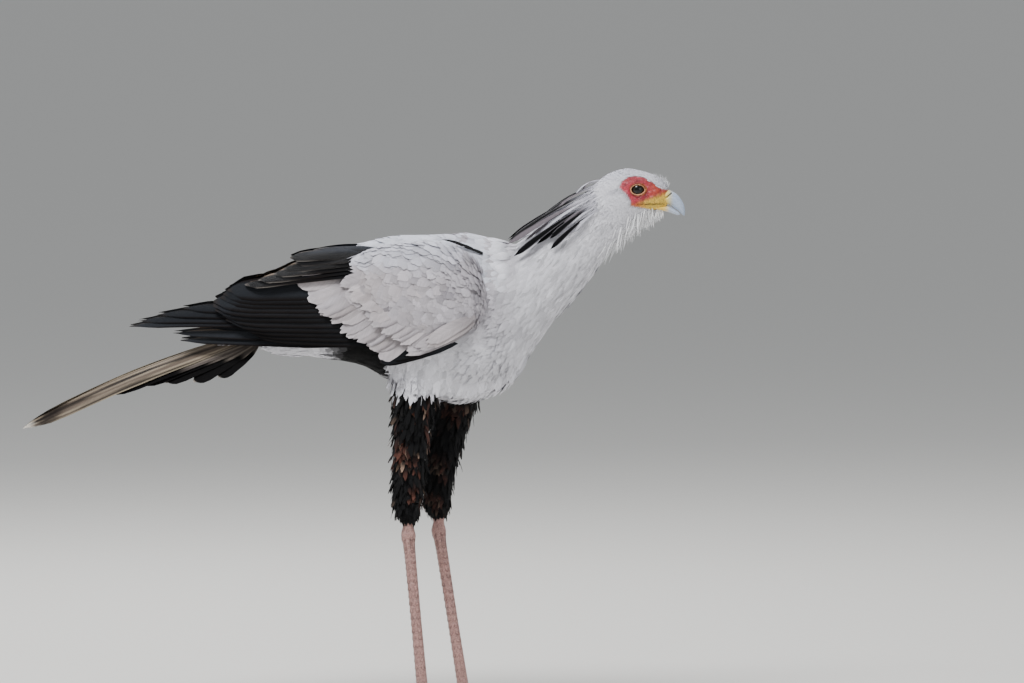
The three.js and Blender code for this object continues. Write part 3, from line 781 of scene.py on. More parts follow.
def horn(name, roughness):
    """Horn of bill or claw: smooth and satin, with growth lines along it, tinted by its attribute."""
    material, shader = new_material(name, roughness, 1.54, Coat_Weight=0.25, Coat_Roughness=0.2)
    where = add_node(material, "ShaderNodeTexCoord")
    stretched = add_node(
        material, "ShaderNodeMapping", inputs={"Vector": where.outputs["Object"], "Scale": (90, 260, 420)}
    )
    lines = add_node(
        material, "ShaderNodeTexNoise", inputs={"Vector": stretched.outputs[0], "Scale": 1.0, "Detail": 4.0}
    )
    shade = add_node(
        material,
        "ShaderNodeMapRange",
        inputs={"Value": lines.outputs["Fac"], **NOISE_SPAN, "To Min": 0.88, "To Max": 1.1},
    )
    tint_and_emboss(material, shader, shade.outputs[0], lines.outputs["Fac"], GROWTH_RELIEF, 0.5)
    return material


def cornea(name):
    """A wet eye: a clear coat over a tinted ball."""
    material, shader = new_material(
        name, 0.12, 1.38, Specular_IOR_Level=0.2, Coat_Weight=0.6, Coat_Roughness=0.02
    )
    tint = add_node(material, "ShaderNodeAttribute", {"attribute_name": "Tint"})
    link(material, tint.outputs["Color"], shader.inputs["Base Color"])
    return material


MATERIALS = {}


def make_materials():
    # Soft loose barbs: the most matt, with the faintest sheen at a glancing angle
    MATERIALS["body_feather"] = keratin_feather(
        "Down-soft contour feather",
        barb_pitch=1.1, barb_relief=0.25, clump=0.08, roughness=0.8, sheen=0.03, specular=0.08,
    )
    # Barbs hooked into a firm vane: smoother, so that its face catches light in broad streaks
    MATERIALS["wing_feather"] = keratin_feather(
        "Vaned keratin feather",
        barb_pitch=1.3, barb_relief=0.22, clump=0.1, roughness=0.6, sheen=0.0, specular=0.05,
    )
    # Barbs that never hook together: shaggy, with groups of unlike brightness
    MATERIALS["thigh_feather"] = keratin_feather(
        "Loose black feather",
        barb_pitch=1.6, barb_relief=0.4, clump=0.25, roughness=0.75, sheen=0.02, specular=0.15,
    )
    MATERIALS["leg_skin"] = pebbled_skin(
        "Scaled leg skin", pitch=2.2, relief=0.7, roughness=0.5, mottle=0.14, subsurface=0.06
    )
    MATERIALS["skin"] = pebbled_skin(
        "Bare facial skin", pitch=1.5, relief=0.9, roughness=0.45, mottle=0.24, subsurface=0.1
    )
    MATERIALS["bill_horn"] = horn("Bill horn", 0.38)
    MATERIALS["claw_horn"] = horn("Claw horn", 0.3)
    MATERIALS["eye"] = cornea("Wet eye")


# Skin

SKIN_VOXEL = 2.9
# Half sizes fore and aft and across, from the top down
THIGH_HALVES = [(46, 40), (39, 37), (33, 31), (29, 27), (25, 22), (18, 16)]
THIGH_COAT = 9.0
# The share of the thigh's coat that lies over the skin, from the hip down
THIGH_COAT_SHARES = (1, 1, 1, 1, 0.9, 0.75)
TARSUS_HALVES = [(9.4, 8.4), (10, 9), (13.4, 10.6), (10.6, 9.2), (9.6, 8.2), (10.6, 9.6), (12, 11)]


def skin_depth(station):
    """How far the skin lies inside the coat's outer surface: deep on the trunk, shallow on the head."""
    return np.interp(station, [0, 8, 11.5, 13.5, 20], [7.0, 7.0, 5.5, 1.6, 0.4])


def loft_rings(loft, start, end, count, around, grow):
    stations = np.linspace(start, end, count)[:, None]
    angles = np.linspace(0, 2 * math.pi, around, endpoint=False)[None, :]
    s, a = np.broadcast_arrays(stations, angles)
    g = grow(s, a) if callable(grow) else grow
    return loft.point(s, a, g)


def limb_rings(points, halves, count, around):
    """Rings across a limb that follows points, with half sizes fore and aft and across."""
    t = np.linspace(0, 1, count)
    path = catmull(points, t)
    along = unit(catmull(points, t + 0.002) - catmull(points, t - 0.002))
    along[0], along[-1] = along[1], along[-2]
    across = np.array([0.0, 1.0, 0.0]) - along * along[:, 1:2]
    across = unit(across)
    fore = np.cross(across, along)
    size = catmull(halves, t)
    a = np.linspace(0, 2 * math.pi, around, endpoint=False)
    return (
        path[:, None, :]
        + fore[:, None, :] * (size[:, 0, None] * np.cos(a))[..., None]
        + across[:, None, :] * (size[:, 1, None] * np.sin(a))[..., None]
    )


def thigh_path(leg):
    hip_x, hip_z = leg["hip"]
    ankle_x, _ = leg["ankle"]
    shares = ((0, 0), (0.22, 0), (0.5, 0.7), (0.75, 1), (0.93, 0.7), (1, 0))
    run, fall = ankle_x - hip_x, THIGH_END - hip_z
    return [(hip_x + run * s + leg["bend"] * b, 0, hip_z + fall * s) for s, b in shares]


def tarsus_path(leg):
    ankle_x, ankle_z = leg["ankle"]
    foot_x, foot_z = leg["foot"]
    run, fall = foot_x - ankle_x, foot_z - ankle_z
    down = [(ankle_x + run * s, 0, ankle_z + fall * s) for s in (0, 0.07, 0.5, 0.93, 1)]
    return [(ankle_x + 3, 0, THIGH_END + 22), (ankle_x, 0, ankle_z + 16)] + down


def moved_out(rings, side):
    """Moves a limb's rings from the middle out to its own side."""
    return rings + np.array([0, side * LEG_OUT, 0])


def toe_line(leg, toe, side, reach, height):
    """The point of a toe's line at a reach from the foot's middle."""
    heading = math.radians(toe["turn"]) * side
    foot_x = leg["foot"][0] + 2
    return (foot_x + reach * math.cos(heading), reach * math.sin(heading), height)


def foot_forms(leg, side):
    """Rings of the four toes and of the knuckle that joins them."""
    forms = []
    for toe in TOES.values():
        length, half = toe["length"], toe["half"]
        path = [
            toe_line(leg, toe, side, 0, SOLE + 5),
            toe_line(leg, toe, side, length * 0.3, SOLE + 2),
            toe_line(leg, toe, side, length * 0.66, SOLE),
            toe_line(leg, toe, side, length, SOLE - 0.4),
        ]
        halves = [(half + 2, half + 2), (half, half), (half - 0.4, half - 0.6), (half - 2.2, half - 2)]
        forms.append(moved_out(limb_rings(path, halves, 24, 20), side))
    foot_x = leg["foot"][0]
    knuckle = [(foot_x - 1, 0, 38), (foot_x + 1, 0, 20), (foot_x + 5, 0, 9)]
    forms.append(moved_out(limb_rings(knuckle, [(11, 10.4), (14, 13), (17, 16)], 10, 24), side))
    return forms


def skin_tints(points):
    """The skin's colours: pale under the coat, red to yellow on the face, black thighs, pink legs."""
    bare_skin, coat = bare(), plumage()
    x, z = points[:, 0], points[:, 2]
    colour = np.broadcast_to(linear(coat.white) * 0.8, points.shape).copy()
    neck = smooth(330, 380, x)
    colour = mixed(linear(coat.grey) * 0.8, colour, neck)
    off_face = edge_distance(FACE_OUTLINE, x, z)
    face_tint = mixed(linear(bare_skin.red), linear("#c24a35"), smooth(520, 545, x))
    under = z - (922 + (x - 494.5) * 0.303)
    rim = mixed(linear(bare_skin.orange), linear(bare_skin.yellow), smooth(503, 532, x))
    face_tint = mixed(face_tint, linear("#7e1c2c"), 0.75 * smooth(0.0, 1.1, cloud(points, 9, 71)))
    face_tint = mixed(face_tint, linear("#e08a90"), 0.55 * smooth(0.2, 1.2, cloud(points, 7, 80)))
    face_tint = mixed(face_tint, rim, smooth(6.0, -4.0, under + 1.5 * cloud(points, 8, 72)))
    # A darker band along the top of the bare face: painted shade under the brow
    brow = np.exp(-(((z - 969 + (x - 505) ** 2 * 0.006) / 2.2) ** 2))
    # A near black line along the mouth: painted shade in its crease
    mouth = np.exp(-((line_distance(MOUTH_LINE, x, z) / 0.8) ** 2))
    face_tint = mixed(face_tint, linear("#7d2f2c"), 0.5 * brow)
    face_tint = mixed(face_tint, linear("#2a1512"), 0.9 * mouth)
    colour = mixed(face_tint, colour, smooth(-1.5, 1.0, off_face))
    lower = smooth(600, 560, z) * (x < 330)
    colour = mixed(colour, linear(coat.black), lower)
    leg = smooth(376, 360, z)
    return mixed(colour, linear(bare_skin.leg), leg)


class BIRD_OT_skin(bpy.types.Operator):
    """One skin under the whole coat, from the bill to the toes"""

    bl_idname = "bird.skin"
    bl_label = "Skin"

    def execute(self, context):
        rings = loft_rings(BODY, 0, BODY.count, 150, 72, lambda s, a: -skin_depth(s))
        parts = [tube("Skin body", rings)]
        for side in SIDES.values():
            turn = np.linspace(0, 2 * math.pi, 48, endpoint=False)
            t, a = np.meshgrid(np.linspace(0, 1, 40), turn, indexing="ij")
            arm = arm_point(t, a, -6.0).reshape(40, 48, 3) * np.array([1, side, 1])
            parts.append(tube("Skin arm", arm))
        for name, leg in LEGS.items():
            side = SIDES[name]
            depths = [THIGH_COAT * share for share in THIGH_COAT_SHARES]
            halves = [(a - depth, b - depth) for (a, b), depth in zip(THIGH_HALVES, depths)]
            thigh = limb_rings(thigh_path(leg), halves, 40, 40)
            tarsus = limb_rings(tarsus_path(leg), TARSUS_HALVES, 90, 36)
            parts.append(tube("Skin thigh", moved_out(thigh, side)))
            parts.append(tube("Skin tarsus", moved_out(tarsus, side)))
            parts += [tube("Skin toe", form) for form in foot_forms(leg, side)]
        skin = join("skin", parts)
        skin.data.remesh_voxel_size = SKIN_VOXEL * MM
        bpy.ops.object.voxel_remesh()
        apply_modifier(skin, "SMOOTH", factor=0.5, iterations=3)
        self.flatten_soles(skin)
        self.sink_eyes(skin)
        skin.data.polygons.foreach_set("use_smooth", np.full(len(skin.data.polygons), True))
        set_tint(skin, skin_tints(coordinates(skin)))
        finish_piece(
            skin, "skin", "plumage", "torso", "neck", "head",
            "thigh_left", "thigh_right", "tarsus_left", "tarsus_right", "foot_left", "foot_right",
        )
        return {"FINISHED"}

    def flatten_soles(self, skin):
        points = coordinates(skin)
        points[:, 2] = np.maximum(points[:, 2], 0.05)
        move_points(skin, points)

    def sink_eyes(self, skin):
        """Presses the skin into a shallow orbit round each eye and raises a brow over it."""
        points = coordinates(skin)
        for side in SIDES.values():
            dx, dz = points[:, 0] - EYE_X, points[:, 2] - EYE_Z
            near = (points[:, 1] * side > 12) & (np.abs(dx) < 45)
            ring = np.hypot(dx / 13.6, dz / 10.6)
            inner = np.clip(1.25 - ring, 0, 1) * 14
            brow = 1.6 * np.exp(-(((dz - 15) / 5) ** 2) - ((dx - 3) / 20) ** 2)
            hollow = 2.0 * np.exp(-(((ring - 1.6) / 0.5) ** 2))
            points[:, 1] += np.where(near, side * (brow - inner - hollow), 0)
        mouth = np.exp(-((line_distance(MOUTH_LINE, points[:, 0], points[:, 2]) / 1.3) ** 2))
        points[:, 1] -= np.sign(points[:, 1]) * mouth * 1.6
        move_points(skin, points)


# Head


class BIRD_OT_eyes(bpy.types.Operator):
    """Eyeballs, lids with lashes, and their wet rims"""

    bl_idname = "bird.eyes"
    bl_label = "Eyes"

    def execute(self, context):
        for name, side in SIDES.items():
            self.ball(name, side)
            self.lids(name, side)
            self.lashes(name, side)
        return {"FINISHED"}

    def ball(self, name, side):
        centre = Vector(((EYE_X + SHIFT_X) * MM, side * EYE_OUT * MM, EYE_Z * MM))
        bpy.ops.object.select_all(action="DESELECT")
        bpy.ops.mesh.primitive_uv_sphere_add(
            segments=64, ring_count=40, radius=(EYE_RADIUS - 0.1) * MM, location=centre,
            rotation=(math.pi / 2, 0, 0),
        )
        ball = bpy.context.object
        ball.name = f"eyeball_{name}"
        bpy.ops.object.transform_apply(location=True, rotation=True, scale=True)
        bpy.ops.object.shade_smooth()
        points = coordinates(ball)
        reach = np.hypot(points[:, 0] - EYE_X - 0.6, points[:, 2] - EYE_Z)
        iris = mixed(linear("#241f10"), linear("#0f0d08"), smooth(6.8, 10, reach))
        tint = mixed(linear("#030303"), iris, smooth(6.0, 6.6, reach))
        set_tint(ball, tint)
        finish_piece(ball, "eye", "eyeball", f"eye_{name}")

    def lashes(self, name, side):
        """Stiff black lashes over the eye."""
        rng = np.random.default_rng(61)
        count = 17
        turn = np.radians(np.linspace(18, 150, count))
        x, z = EYE_X + 12.6 * np.cos(turn), EYE_Z + 9.6 * np.sin(turn)
        roots = np.stack([x, side * (EYE_OUT + 10.6 + 0 * turn), z], 1)
        outwards = np.stack([np.cos(turn) * 0.7 + 0.5, side * np.full(count, 0.75), np.sin(turn) * 0.7], 1)
        tips = roots + unit(outwards) * rng.uniform(4, 7, (count, 1))
        vanes = Vanes(8, 2)
        faces = np.stack([0 * turn, side * 0.3 + 0 * turn, np.ones(count)], 1)
        vanes.add(
            roots, tips, faces, 0.7, "lock", np.full((count, 2), 0.5), even_tint(linear("#0c0a0a")),
            bow=-1.2, thick=0.4,
        )
        finish_piece(vanes.build(f"lashes_{name}"), "thigh_feather", "plumage")

    def lids(self, name, side):
        """Two rims of lid, an inner pale one and an outer red fold."""
        for label, grow, thick, rise, colour in (
            ("rim", 0.0, 1.15, 0.9, "#d99a72"),
            ("fold", 2.6, 1.3, -0.5, "#b84a48"),
        ):
            turn = np.linspace(0, 2 * math.pi, 72, endpoint=False)
            corner = 1 + 0.07 * np.cos(2 * turn) ** 2 * (np.cos(turn) > 0)
            rx, rz = (12.4 + grow) * corner, 9.3 + grow * 0.9
            x, z = rx * np.cos(turn), rz * np.sin(turn)
            ball_y = np.sqrt(np.maximum((EYE_RADIUS + 0.4) ** 2 - (x / 1.28) ** 2 - (z / 1.16) ** 2, 0))
            centre = np.stack([EYE_X + x, side * (EYE_OUT + ball_y * 0.92 + rise), EYE_Z + z], 1)
            outwards = np.stack([np.cos(turn), 0 * turn, np.sin(turn)], 1)
            a = np.linspace(0, 2 * math.pi, 14, endpoint=False)
            sideways = np.array([0, side, 0])
            rings = (
                centre[:, None]
                + outwards[:, None] * (thick * np.cos(a))[None, :, None]
                + sideways * (thick * np.sin(a))[None, :, None]
            )
            faces = ring_faces(*rings.shape[:2], closed=True)
            piece = place_mesh(f"lid_{label}_{name}", rings.reshape(-1, 3), faces)
            clean(piece)
            tint = np.broadcast_to(linear(colour), (len(piece.data.vertices), 3))
            x = coordinates(piece)[:, 0]
            front = smooth(EYE_X, EYE_X + 14, x)
            tint = mixed(tint, linear("#d8823f"), front * (0.7 if label == "fold" else 0.2))
            set_tint(piece, tint)
            finish_piece(piece, "skin", "plumage")


class BIRD_OT_bill(bpy.types.Operator):
    """Both halves of the bill, with cere, nostrils and the edge of the mouth"""

    bl_idname = "bird.bill"
    bl_label = "Bill"

    def execute(self, context):
        bare_skin = bare()
        upper = tube("bill_horn_upper", loft_rings(UPPER_BILL, 0, UPPER_BILL.count, 110, 72, 0.0))
        points = coordinates(upper)
        slit = np.exp(-((line_distance(NOSTRIL, points[:, 0], points[:, 2]) / 1.5) ** 2))
        points[:, 1] -= np.sign(points[:, 1]) * slit * 3.0
        cere = smooth(568, 561, points[:, 0] - (936 - points[:, 2]) * 0.25)
        bulge = cere * 0.5
        points[:, 1] += np.sign(points[:, 1]) * bulge
        move_points(upper, points)
        tint = mixed(linear(bare_skin.horn), linear("#e6d27a"), smooth(576, 562, points[:, 0]))
        base = smooth(566, 558, points[:, 0]) * smooth(946, 936, points[:, 2])
        tint = mixed(tint, linear(bare_skin.yellow), base)
        # Whitish along the top of the culmen: a painted highlight
        ridge = smooth(0.4, 1.0, (points[:, 2] - 905) / 45) * smooth(4, 0, np.abs(points[:, 1]))
        tint = mixed(tint, linear("#e9eee0"), ridge * 0.5)
        tint = mixed(tint, linear("#8592a8"), smooth(914, 903, points[:, 2]) * 0.6)
        # Near black in the nostril's slit: painted shade in the opening
        tint = mixed(tint, linear("#140f0c"), smooth(0.35, 0.8, slit))
        set_tint(upper, tint)
        finish_piece(upper, "bill_horn", "bill_horn", "bill_upper")

        lower = tube("bill_horn_lower", loft_rings(LOWER_BILL, 0, LOWER_BILL.count, 80, 60, 0.0))
        points = coordinates(lower)
        tint = mixed(linear(bare_skin.yellow), linear("#b4bfd2"), smooth(556, 570, points[:, 0]))
        tint = mixed(tint, linear("#8c97ac"), smooth(908, 903, points[:, 2]) * 0.5)
        set_tint(lower, tint)
        finish_piece(lower, "bill_horn", "bill_horn", "bill_lower")
        return {"FINISHED"}


# Coat of the body, neck and head. Stations run from 0 at the tail root over 8 at the foot of the neck and
# 12 at the nape to 19 over the bill.


def body_rows(start, end, spacing_along, spacing_around, seed):
    """Station and angle of feather roots in staggered rows, evenly spaced over the body."""
    rng = np.random.default_rng(seed)
    fine = np.linspace(start, end, 400)
    axis = (BODY.point(fine, np.pi / 2) + BODY.point(fine, -np.pi / 2)) / 2
    run = np.concatenate([[0], np.cumsum(np.linalg.norm(np.diff(axis, axis=0), axis=1))])
    stations, angles = [], []
    place, row = 0.0, 0
    while place < run[-1]:
        station = np.interp(place, run, fine)
        step_along = np.interp(station, *spacing_along)
        step_around = np.interp(station, *spacing_around)
        ring = BODY.point(np.full(64, station), np.linspace(0, 2 * np.pi, 64))
        legs = np.linalg.norm(np.diff(ring, axis=0), axis=1)
        arc = np.concatenate([[0], np.cumsum(legs)])
        count = max(6, int(arc[-1] / step_around))
        at = (np.arange(count) + (row % 2) * 0.5 + rng.uniform(-0.25, 0.25, count)) / count * arc[-1]
        angles.append(np.interp(at % arc[-1], arc, np.linspace(0, 2 * np.pi, 64)))
        jitter = rng.uniform(-0.3, 0.3, count) * step_along / run[-1] * (end - start)
        stations.append(station + jitter)
        place += step_along
        row += 1
    return np.concatenate(stations), np.concatenate(angles)


def coat_places(share, angle):
    """Where feathers' roots lie on their piece's own map: along it by share and round it by angle."""
    return np.stack([0.02 + share, 0.02 + (angle % (2 * np.pi)) / (2 * np.pi) * 0.96], 1)


def coat_colour(x, y, z):
    """The coat's colour by place: white breast and neck, grey back, dark rump and black vent."""
    coat = plumage()
    under = smooth(760, 660, z)
    back = mixed(linear(coat.grey), linear(coat.white), under)
    colour = mixed(back, linear(coat.white), smooth(250, 340, x))
    nape = smooth(420, 470, x) * smooth(955, 975, z - (x - 440) * 0.15)
    colour = mixed(colour, linear("#cfcfdb"), nape * 0.6)
    rump = smooth(30, -30, x) * smooth(720, 750, z)
    colour = mixed(colour, linear("#3a393b"), rump * 0.9)
    ragged = 9 * cloud(np.stack([x, y, z], -1), 20, 79)
    vent = smooth(112, 84, x + ragged) * smooth(-30, 10, x + ragged) * smooth(700, 660, z)
    return mixed(colour, linear(coat.black) * 0.6, vent)


def under_wing(x, y, z):
    """Where the folded wing covers the body."""
    return (x < 200) & (x > -150) & (z > 690) & (z < 826) & (np.abs(y) > 30)


class BIRD_OT_body_coat(bpy.types.Operator):
    """Contour feathers of the trunk and neck"""

    bl_idname = "bird.body_coat"
    bl_label = "Body coat"

    def execute(self, context):
        gap = plumage().body_spacing
        spacing = ([0, 7, 9, 12.4], [gap, gap, gap * 0.85, gap * 0.62])
        around = ([0, 7, 9, 12.4], [gap * 0.95, gap * 0.85, gap * 0.48, gap * 0.34])
        station, angle = body_rows(0.15, 13.2, spacing, around, 5)
        keep = ~under_wing(*BODY.point(station, angle).T)
        station, angle = station[keep], angle[keep]
        leftwards = np.sin(angle) >= 0
        neck = station > 7.8
        self.lay("neck_coat_left", station[neck & leftwards], angle[neck & leftwards], 6)
        self.lay("neck_coat_right", station[neck & ~leftwards], angle[neck & ~leftwards], 9)
        self.lay("body_coat_left", station[~neck & leftwards], angle[~neck & leftwards], 7)
        self.lay("body_coat_right", station[~neck & ~leftwards], angle[~neck & ~leftwards], 8)
        return {"FINISHED"}

    def lay(self, name, station, angle, seed):
        """Lays feathers back from their roots on the skin, long and narrow on the neck."""
        rng = np.random.default_rng(seed)
        count = len(station)
        roots = BODY.point(station, angle, -skin_depth(station) - 0.5)
        normal = BODY.normal(station, angle)
        back = -BODY.forward(station, angle)
        size = np.interp(station, [0, 5, 8, 10, 12, 13.2], [38, 44, 50, 54, 40, 19])
        size = size * rng.uniform(0.8, 1.2, count)
        width = size * np.interp(station, [0, 5, 7.5, 9, 12, 13.2], [0.5, 0.42, 0.26, 0.125, 0.125, 0.24])
        across = np.cross(normal, back)
        lie = unit(back + across * rng.normal(0, 0.1, count)[:, None])
        rise = np.interp(station, [0, 8, 13.2], [6.0, 6.0, 2.6]) * rng.uniform(0.86, 1.08, count)
        settled = BODY.normal(np.clip(station - size / 75, 0, 20), angle)
        tips = roots + lie * size[:, None] + normal * rise[:, None]
        surface = BODY.point(station, angle)
        uneven = np.interp(station, [6, 10], [0.035, 0.11])
        shade = 1 + uneven * rng.standard_normal(count) + 0.05 * cloud(surface, 60, 73)
        dimmed = 0.94 - 0.14 * smooth(0.2, 1.2, cloud(surface, 34, 74))
        tint_at = coat_colour(*surface.T) * (dimmed * shade)[:, None]
        places = coat_places(station / 21, angle)

        def tints(k, v, u):
            # Darker at the root: painted shade where the feather lies under its neighbours
            return tint_at[k] * painted_root_shade(v, u, 0.9, 0.05, 0.6)

        vanes = Vanes(4, 4)
        vanes.add(
            roots, tips, normal, width, "body", places, tints, faces_tip=settled, bow=size * 0.05,
            camber=0.06, jag=0.22, round_tip=0.2, thick=0.4, sweep=rng.normal(0, 0.06, count), seed=seed,
        )
        finish_piece(vanes.build(name), "body_feather", "plumage")


class BIRD_OT_head_coat(bpy.types.Operator):
    """Short feathers of the head, the bristles over the bill and the hanging feathers of the chin"""

    bl_idname = "bird.head_coat"
    bl_label = "Head coat"

    def execute(self, context):
        station, angle = body_rows(12.3, 18.9, ([12, 20], [3.4, 2.4]), ([12, 20], [3.0, 2.2]), 8)
        outer = BODY.point(station, angle)
        off_face = edge_distance(FACE_OUTLINE, outer[:, 0], outer[:, 2])
        side_on = np.abs(outer[:, 1]) > 6
        keep = ~((off_face < 0.4) & side_on) & ~((outer[:, 0] > 556) & (outer[:, 2] < 948))
        station, angle, outer = station[keep], angle[keep], outer[keep]
        rng = np.random.default_rng(9)
        normal = BODY.normal(station, angle)
        back = -BODY.forward(station, angle)
        roots = BODY.point(station, angle, -skin_depth(station) - 0.3)
        size = np.interp(station, [12, 14, 17, 19], [14, 11, 7.5, 6]) * rng.uniform(0.8, 1.2, len(station))
        across = np.cross(normal, back)
        lie = unit(back + across * rng.normal(0, 0.12, len(station))[:, None])
        tips = roots + lie * size[:, None] + normal * (size * 0.14 + 0.3)[:, None]
        tint_at = coat_colour(*outer.T)
        shade = 1 + 0.03 * rng.standard_normal(len(station))
        ear = np.exp(-(((outer[:, 0] - 474) / 12) ** 2) - ((outer[:, 2] - 951) / 4) ** 2)
        tint_at = mixed(tint_at, linear("#8d8c98"), ear * 0.55)
        places = coat_places((station - 12) / 8.4, angle)

        def tints(k, v, u):
            # Darker at the root: painted shade where the feather lies under its neighbours
            return tint_at[k] * shade[k][..., None] * painted_root_shade(v, u, 0.8, 0.05, 0.6)

        vanes = Vanes(3, 2)
        vanes.add(
            roots, tips, normal, size * 0.42, "body", places, tints, bow=size * 0.05, camber=0.08,
            jag=0.25, thick=0.25, seed=10,
        )
        self.bristles(vanes, rng)
        finish_piece(vanes.build("head_coat"), "body_feather", "plumage")
        self.beard()
        return {"FINISHED"}

    def bristles(self, vanes, rng):
        """Short stiff feathers that stand up on the forehead over the bill."""
        count = 110
        station = rng.uniform(16.9, 18.8, count)
        angle = rng.uniform(-0.8, 0.8, count)
        roots = BODY.point(station, angle, -0.6)
        normal = BODY.normal(station, angle)
        back = -BODY.forward(station, angle)
        size = np.interp(station, [16.9, 17.8, 18.8], [5, 12, 10]) * rng.uniform(0.6, 1.25, count)
        stand = rng.uniform(0.2, 1.5, (count, 1))
        tips = roots + unit(back * 0.9 + normal * stand) * size[:, None]
        places = coat_places((station - 12) / 8.4, angle)
        vanes.add(
            roots, tips, unit(np.cross(back, np.cross(normal, back))), 1.5, "lock", places,
            even_tint(linear("#f1f1f4"), spread=0.04), bow=-size * 0.08, thick=0.3, seed=11,
        )

    def beard(self):
        """Loose pointed feathers that hang from the chin and throat, longest low on the throat."""
        rng = np.random.default_rng(12)
        count = 420
        share = rng.uniform(0, 1, count)
        station = 11.6 + 5.9 * share
        angle = np.pi + rng.normal(0, 1, count) * np.interp(share, [0, 0.4, 1], [0.5, 0.32, 0.1])
        roots = BODY.point(station, angle, -skin_depth(station) - 0.4)
        size = np.interp(share, [0, 0.3, 0.6, 0.8, 1], [40, 46, 40, 30, 16]) * rng.uniform(0.45, 1.1, count)
        lean = np.interp(share, [0, 0.3, 0.6, 1], [-0.6, -0.35, -0.12, 0.0]) + rng.normal(0, 0.1, count)
        aside = -0.25 * np.sin(angle - np.pi) + rng.normal(0, 0.06, count)
        hang = unit(np.stack([lean, aside, -np.ones(count)], 1))
        tips = roots + hang * size[:, None]
        turned = np.where(rng.uniform(size=count) > 0.5, 1.0, -1.0)
        face = unit(np.stack([np.zeros(count), turned, 0.2 * np.ones(count)], 1))
        places = coat_places((station - 11) / 9.4, angle)
        vanes = Vanes(6, 2)
        vanes.add(
            roots, tips, face, rng.uniform(1.6, 3.0, count), "lock", places,
            even_tint(linear("#f4f4f6"), spread=0.05),
            bow=rng.normal(0, 0.6, count), thick=0.4, sweep=rng.normal(0, 0.05, count), seed=13,
        )
        finish_piece(vanes.build("chin_feathers"), "body_feather", "plumage")


# Crest

# For each feather on one side: station and angle of its root and of its tip, how far its tip stands off
# the neck, and its width
CREST = [
    ((13.3, 8), (11.5, 9), 7, 9),
    ((12.9, 20), (9, 16), 9, 12),
    ((12.8, 32), (7.3, 20), 7, 13),
    ((12.7, 43), (7.4, 33), 6, 14),
    ((12.6, 54), (7.6, 45), 5, 14),
    ((12.5, 62), (9.5, 54), 5, 12),
    ((12.5, 70), (9.3, 63), 5, 11),
]

# 0 for a black feather, 1 for a grey-brown one and 2 for a pale one, in three layers
CREST_KINDS = [(2, 0, 0, 1, 0, 0, 0), (1, 1, 2, 2, 0, 2, 2), (2, 0, 2, 1, 2, 1, 2)]


class BIRD_OT_crest(bpy.types.Operator):
    """Long spoon-ended feathers that lie back from the nape over the neck"""

    bl_idname = "bird.crest"
    bl_label = "Crest"

    def execute(self, context):
        coat = plumage()
        rng = np.random.default_rng(15)
        roots, tips, faces, faces_tip, widths, kinds = [], [], [], [], [], []
        for side in SIDES.values():
            for copy, (drop, shorter) in enumerate(((0.0, 0.0), (4.0, 1.6), (-4.0, 0.8))):
                for k, (root, tip, lift, width) in enumerate(CREST):
                    s0 = root[0] - 0.1 * copy + rng.uniform(-0.1, 0.1)
                    loss = shorter * rng.uniform(0.7, 1.2) * (s0 - tip[0]) / 5.4
                    s1 = tip[0] + loss + rng.uniform(-0.15, 0.15)
                    a0 = side * math.radians(root[1] + drop)
                    a1 = side * math.radians(tip[1] + drop * 1.2 + rng.uniform(-2, 2))
                    over = 2.4 * (k % 2) - copy * 0.9 + (1.5 if k > 3 else 0)
                    roots.append(BODY.point(s0, a0, over - 2))
                    tips.append(BODY.point(s1, a1, lift + over))
                    faces.append(BODY.normal(s0, a0))
                    faces_tip.append(BODY.normal(s1, a1))
                    widths.append(width * (0.92 - 0.2 * copy))
                    kinds.append(CREST_KINDS[copy][k])
        roots, tips, faces, faces_tip = (np.array(v) for v in (roots, tips, faces, faces_tip))
        kinds = np.array(kinds)
        shades = np.array([linear(coat.black), linear("#716a70"), linear("#c9c8d2")])

        def tints(k, v, u):
            grown = smooth(0.06, 0.34, v + 0.04 * np.sin(k * 2.3)) * np.ones_like(u)
            colour = mixed(linear("#bdbcc6"), shades[kinds[k]], grown)
            edge = smooth(0.66, 1.0, np.abs(u)) * smooth(0.15, 0.4, v) * (kinds[k] == 0)
            colour = mixed(colour, linear("#8d8990"), edge * 0.6)
            dark_rim = smooth(0.5, 0.95, u) * smooth(0.4, 0.7, v) * (kinds[k] == 1)
            return mixed(colour, linear(coat.black), dark_rim * 0.9)

        places = np.stack([np.linspace(0.05, 0.95, len(roots)), np.full(len(roots), 0.5)], 1)
        vanes = Vanes(22, 6)
        vanes.add(
            roots, tips, faces, widths, "crest", places, tints, faces_tip=faces_tip, bow=9, camber=0.05,
            jag=0.03, thick=0.5, ridge=0.35, sweep=rng.normal(0, 0.025, len(roots)), seed=16,
        )
        finish_piece(vanes.build("crest"), "wing_feather", "plumage")
        return {"FINISHED"}


# Wings

TILT = math.radians(-8)

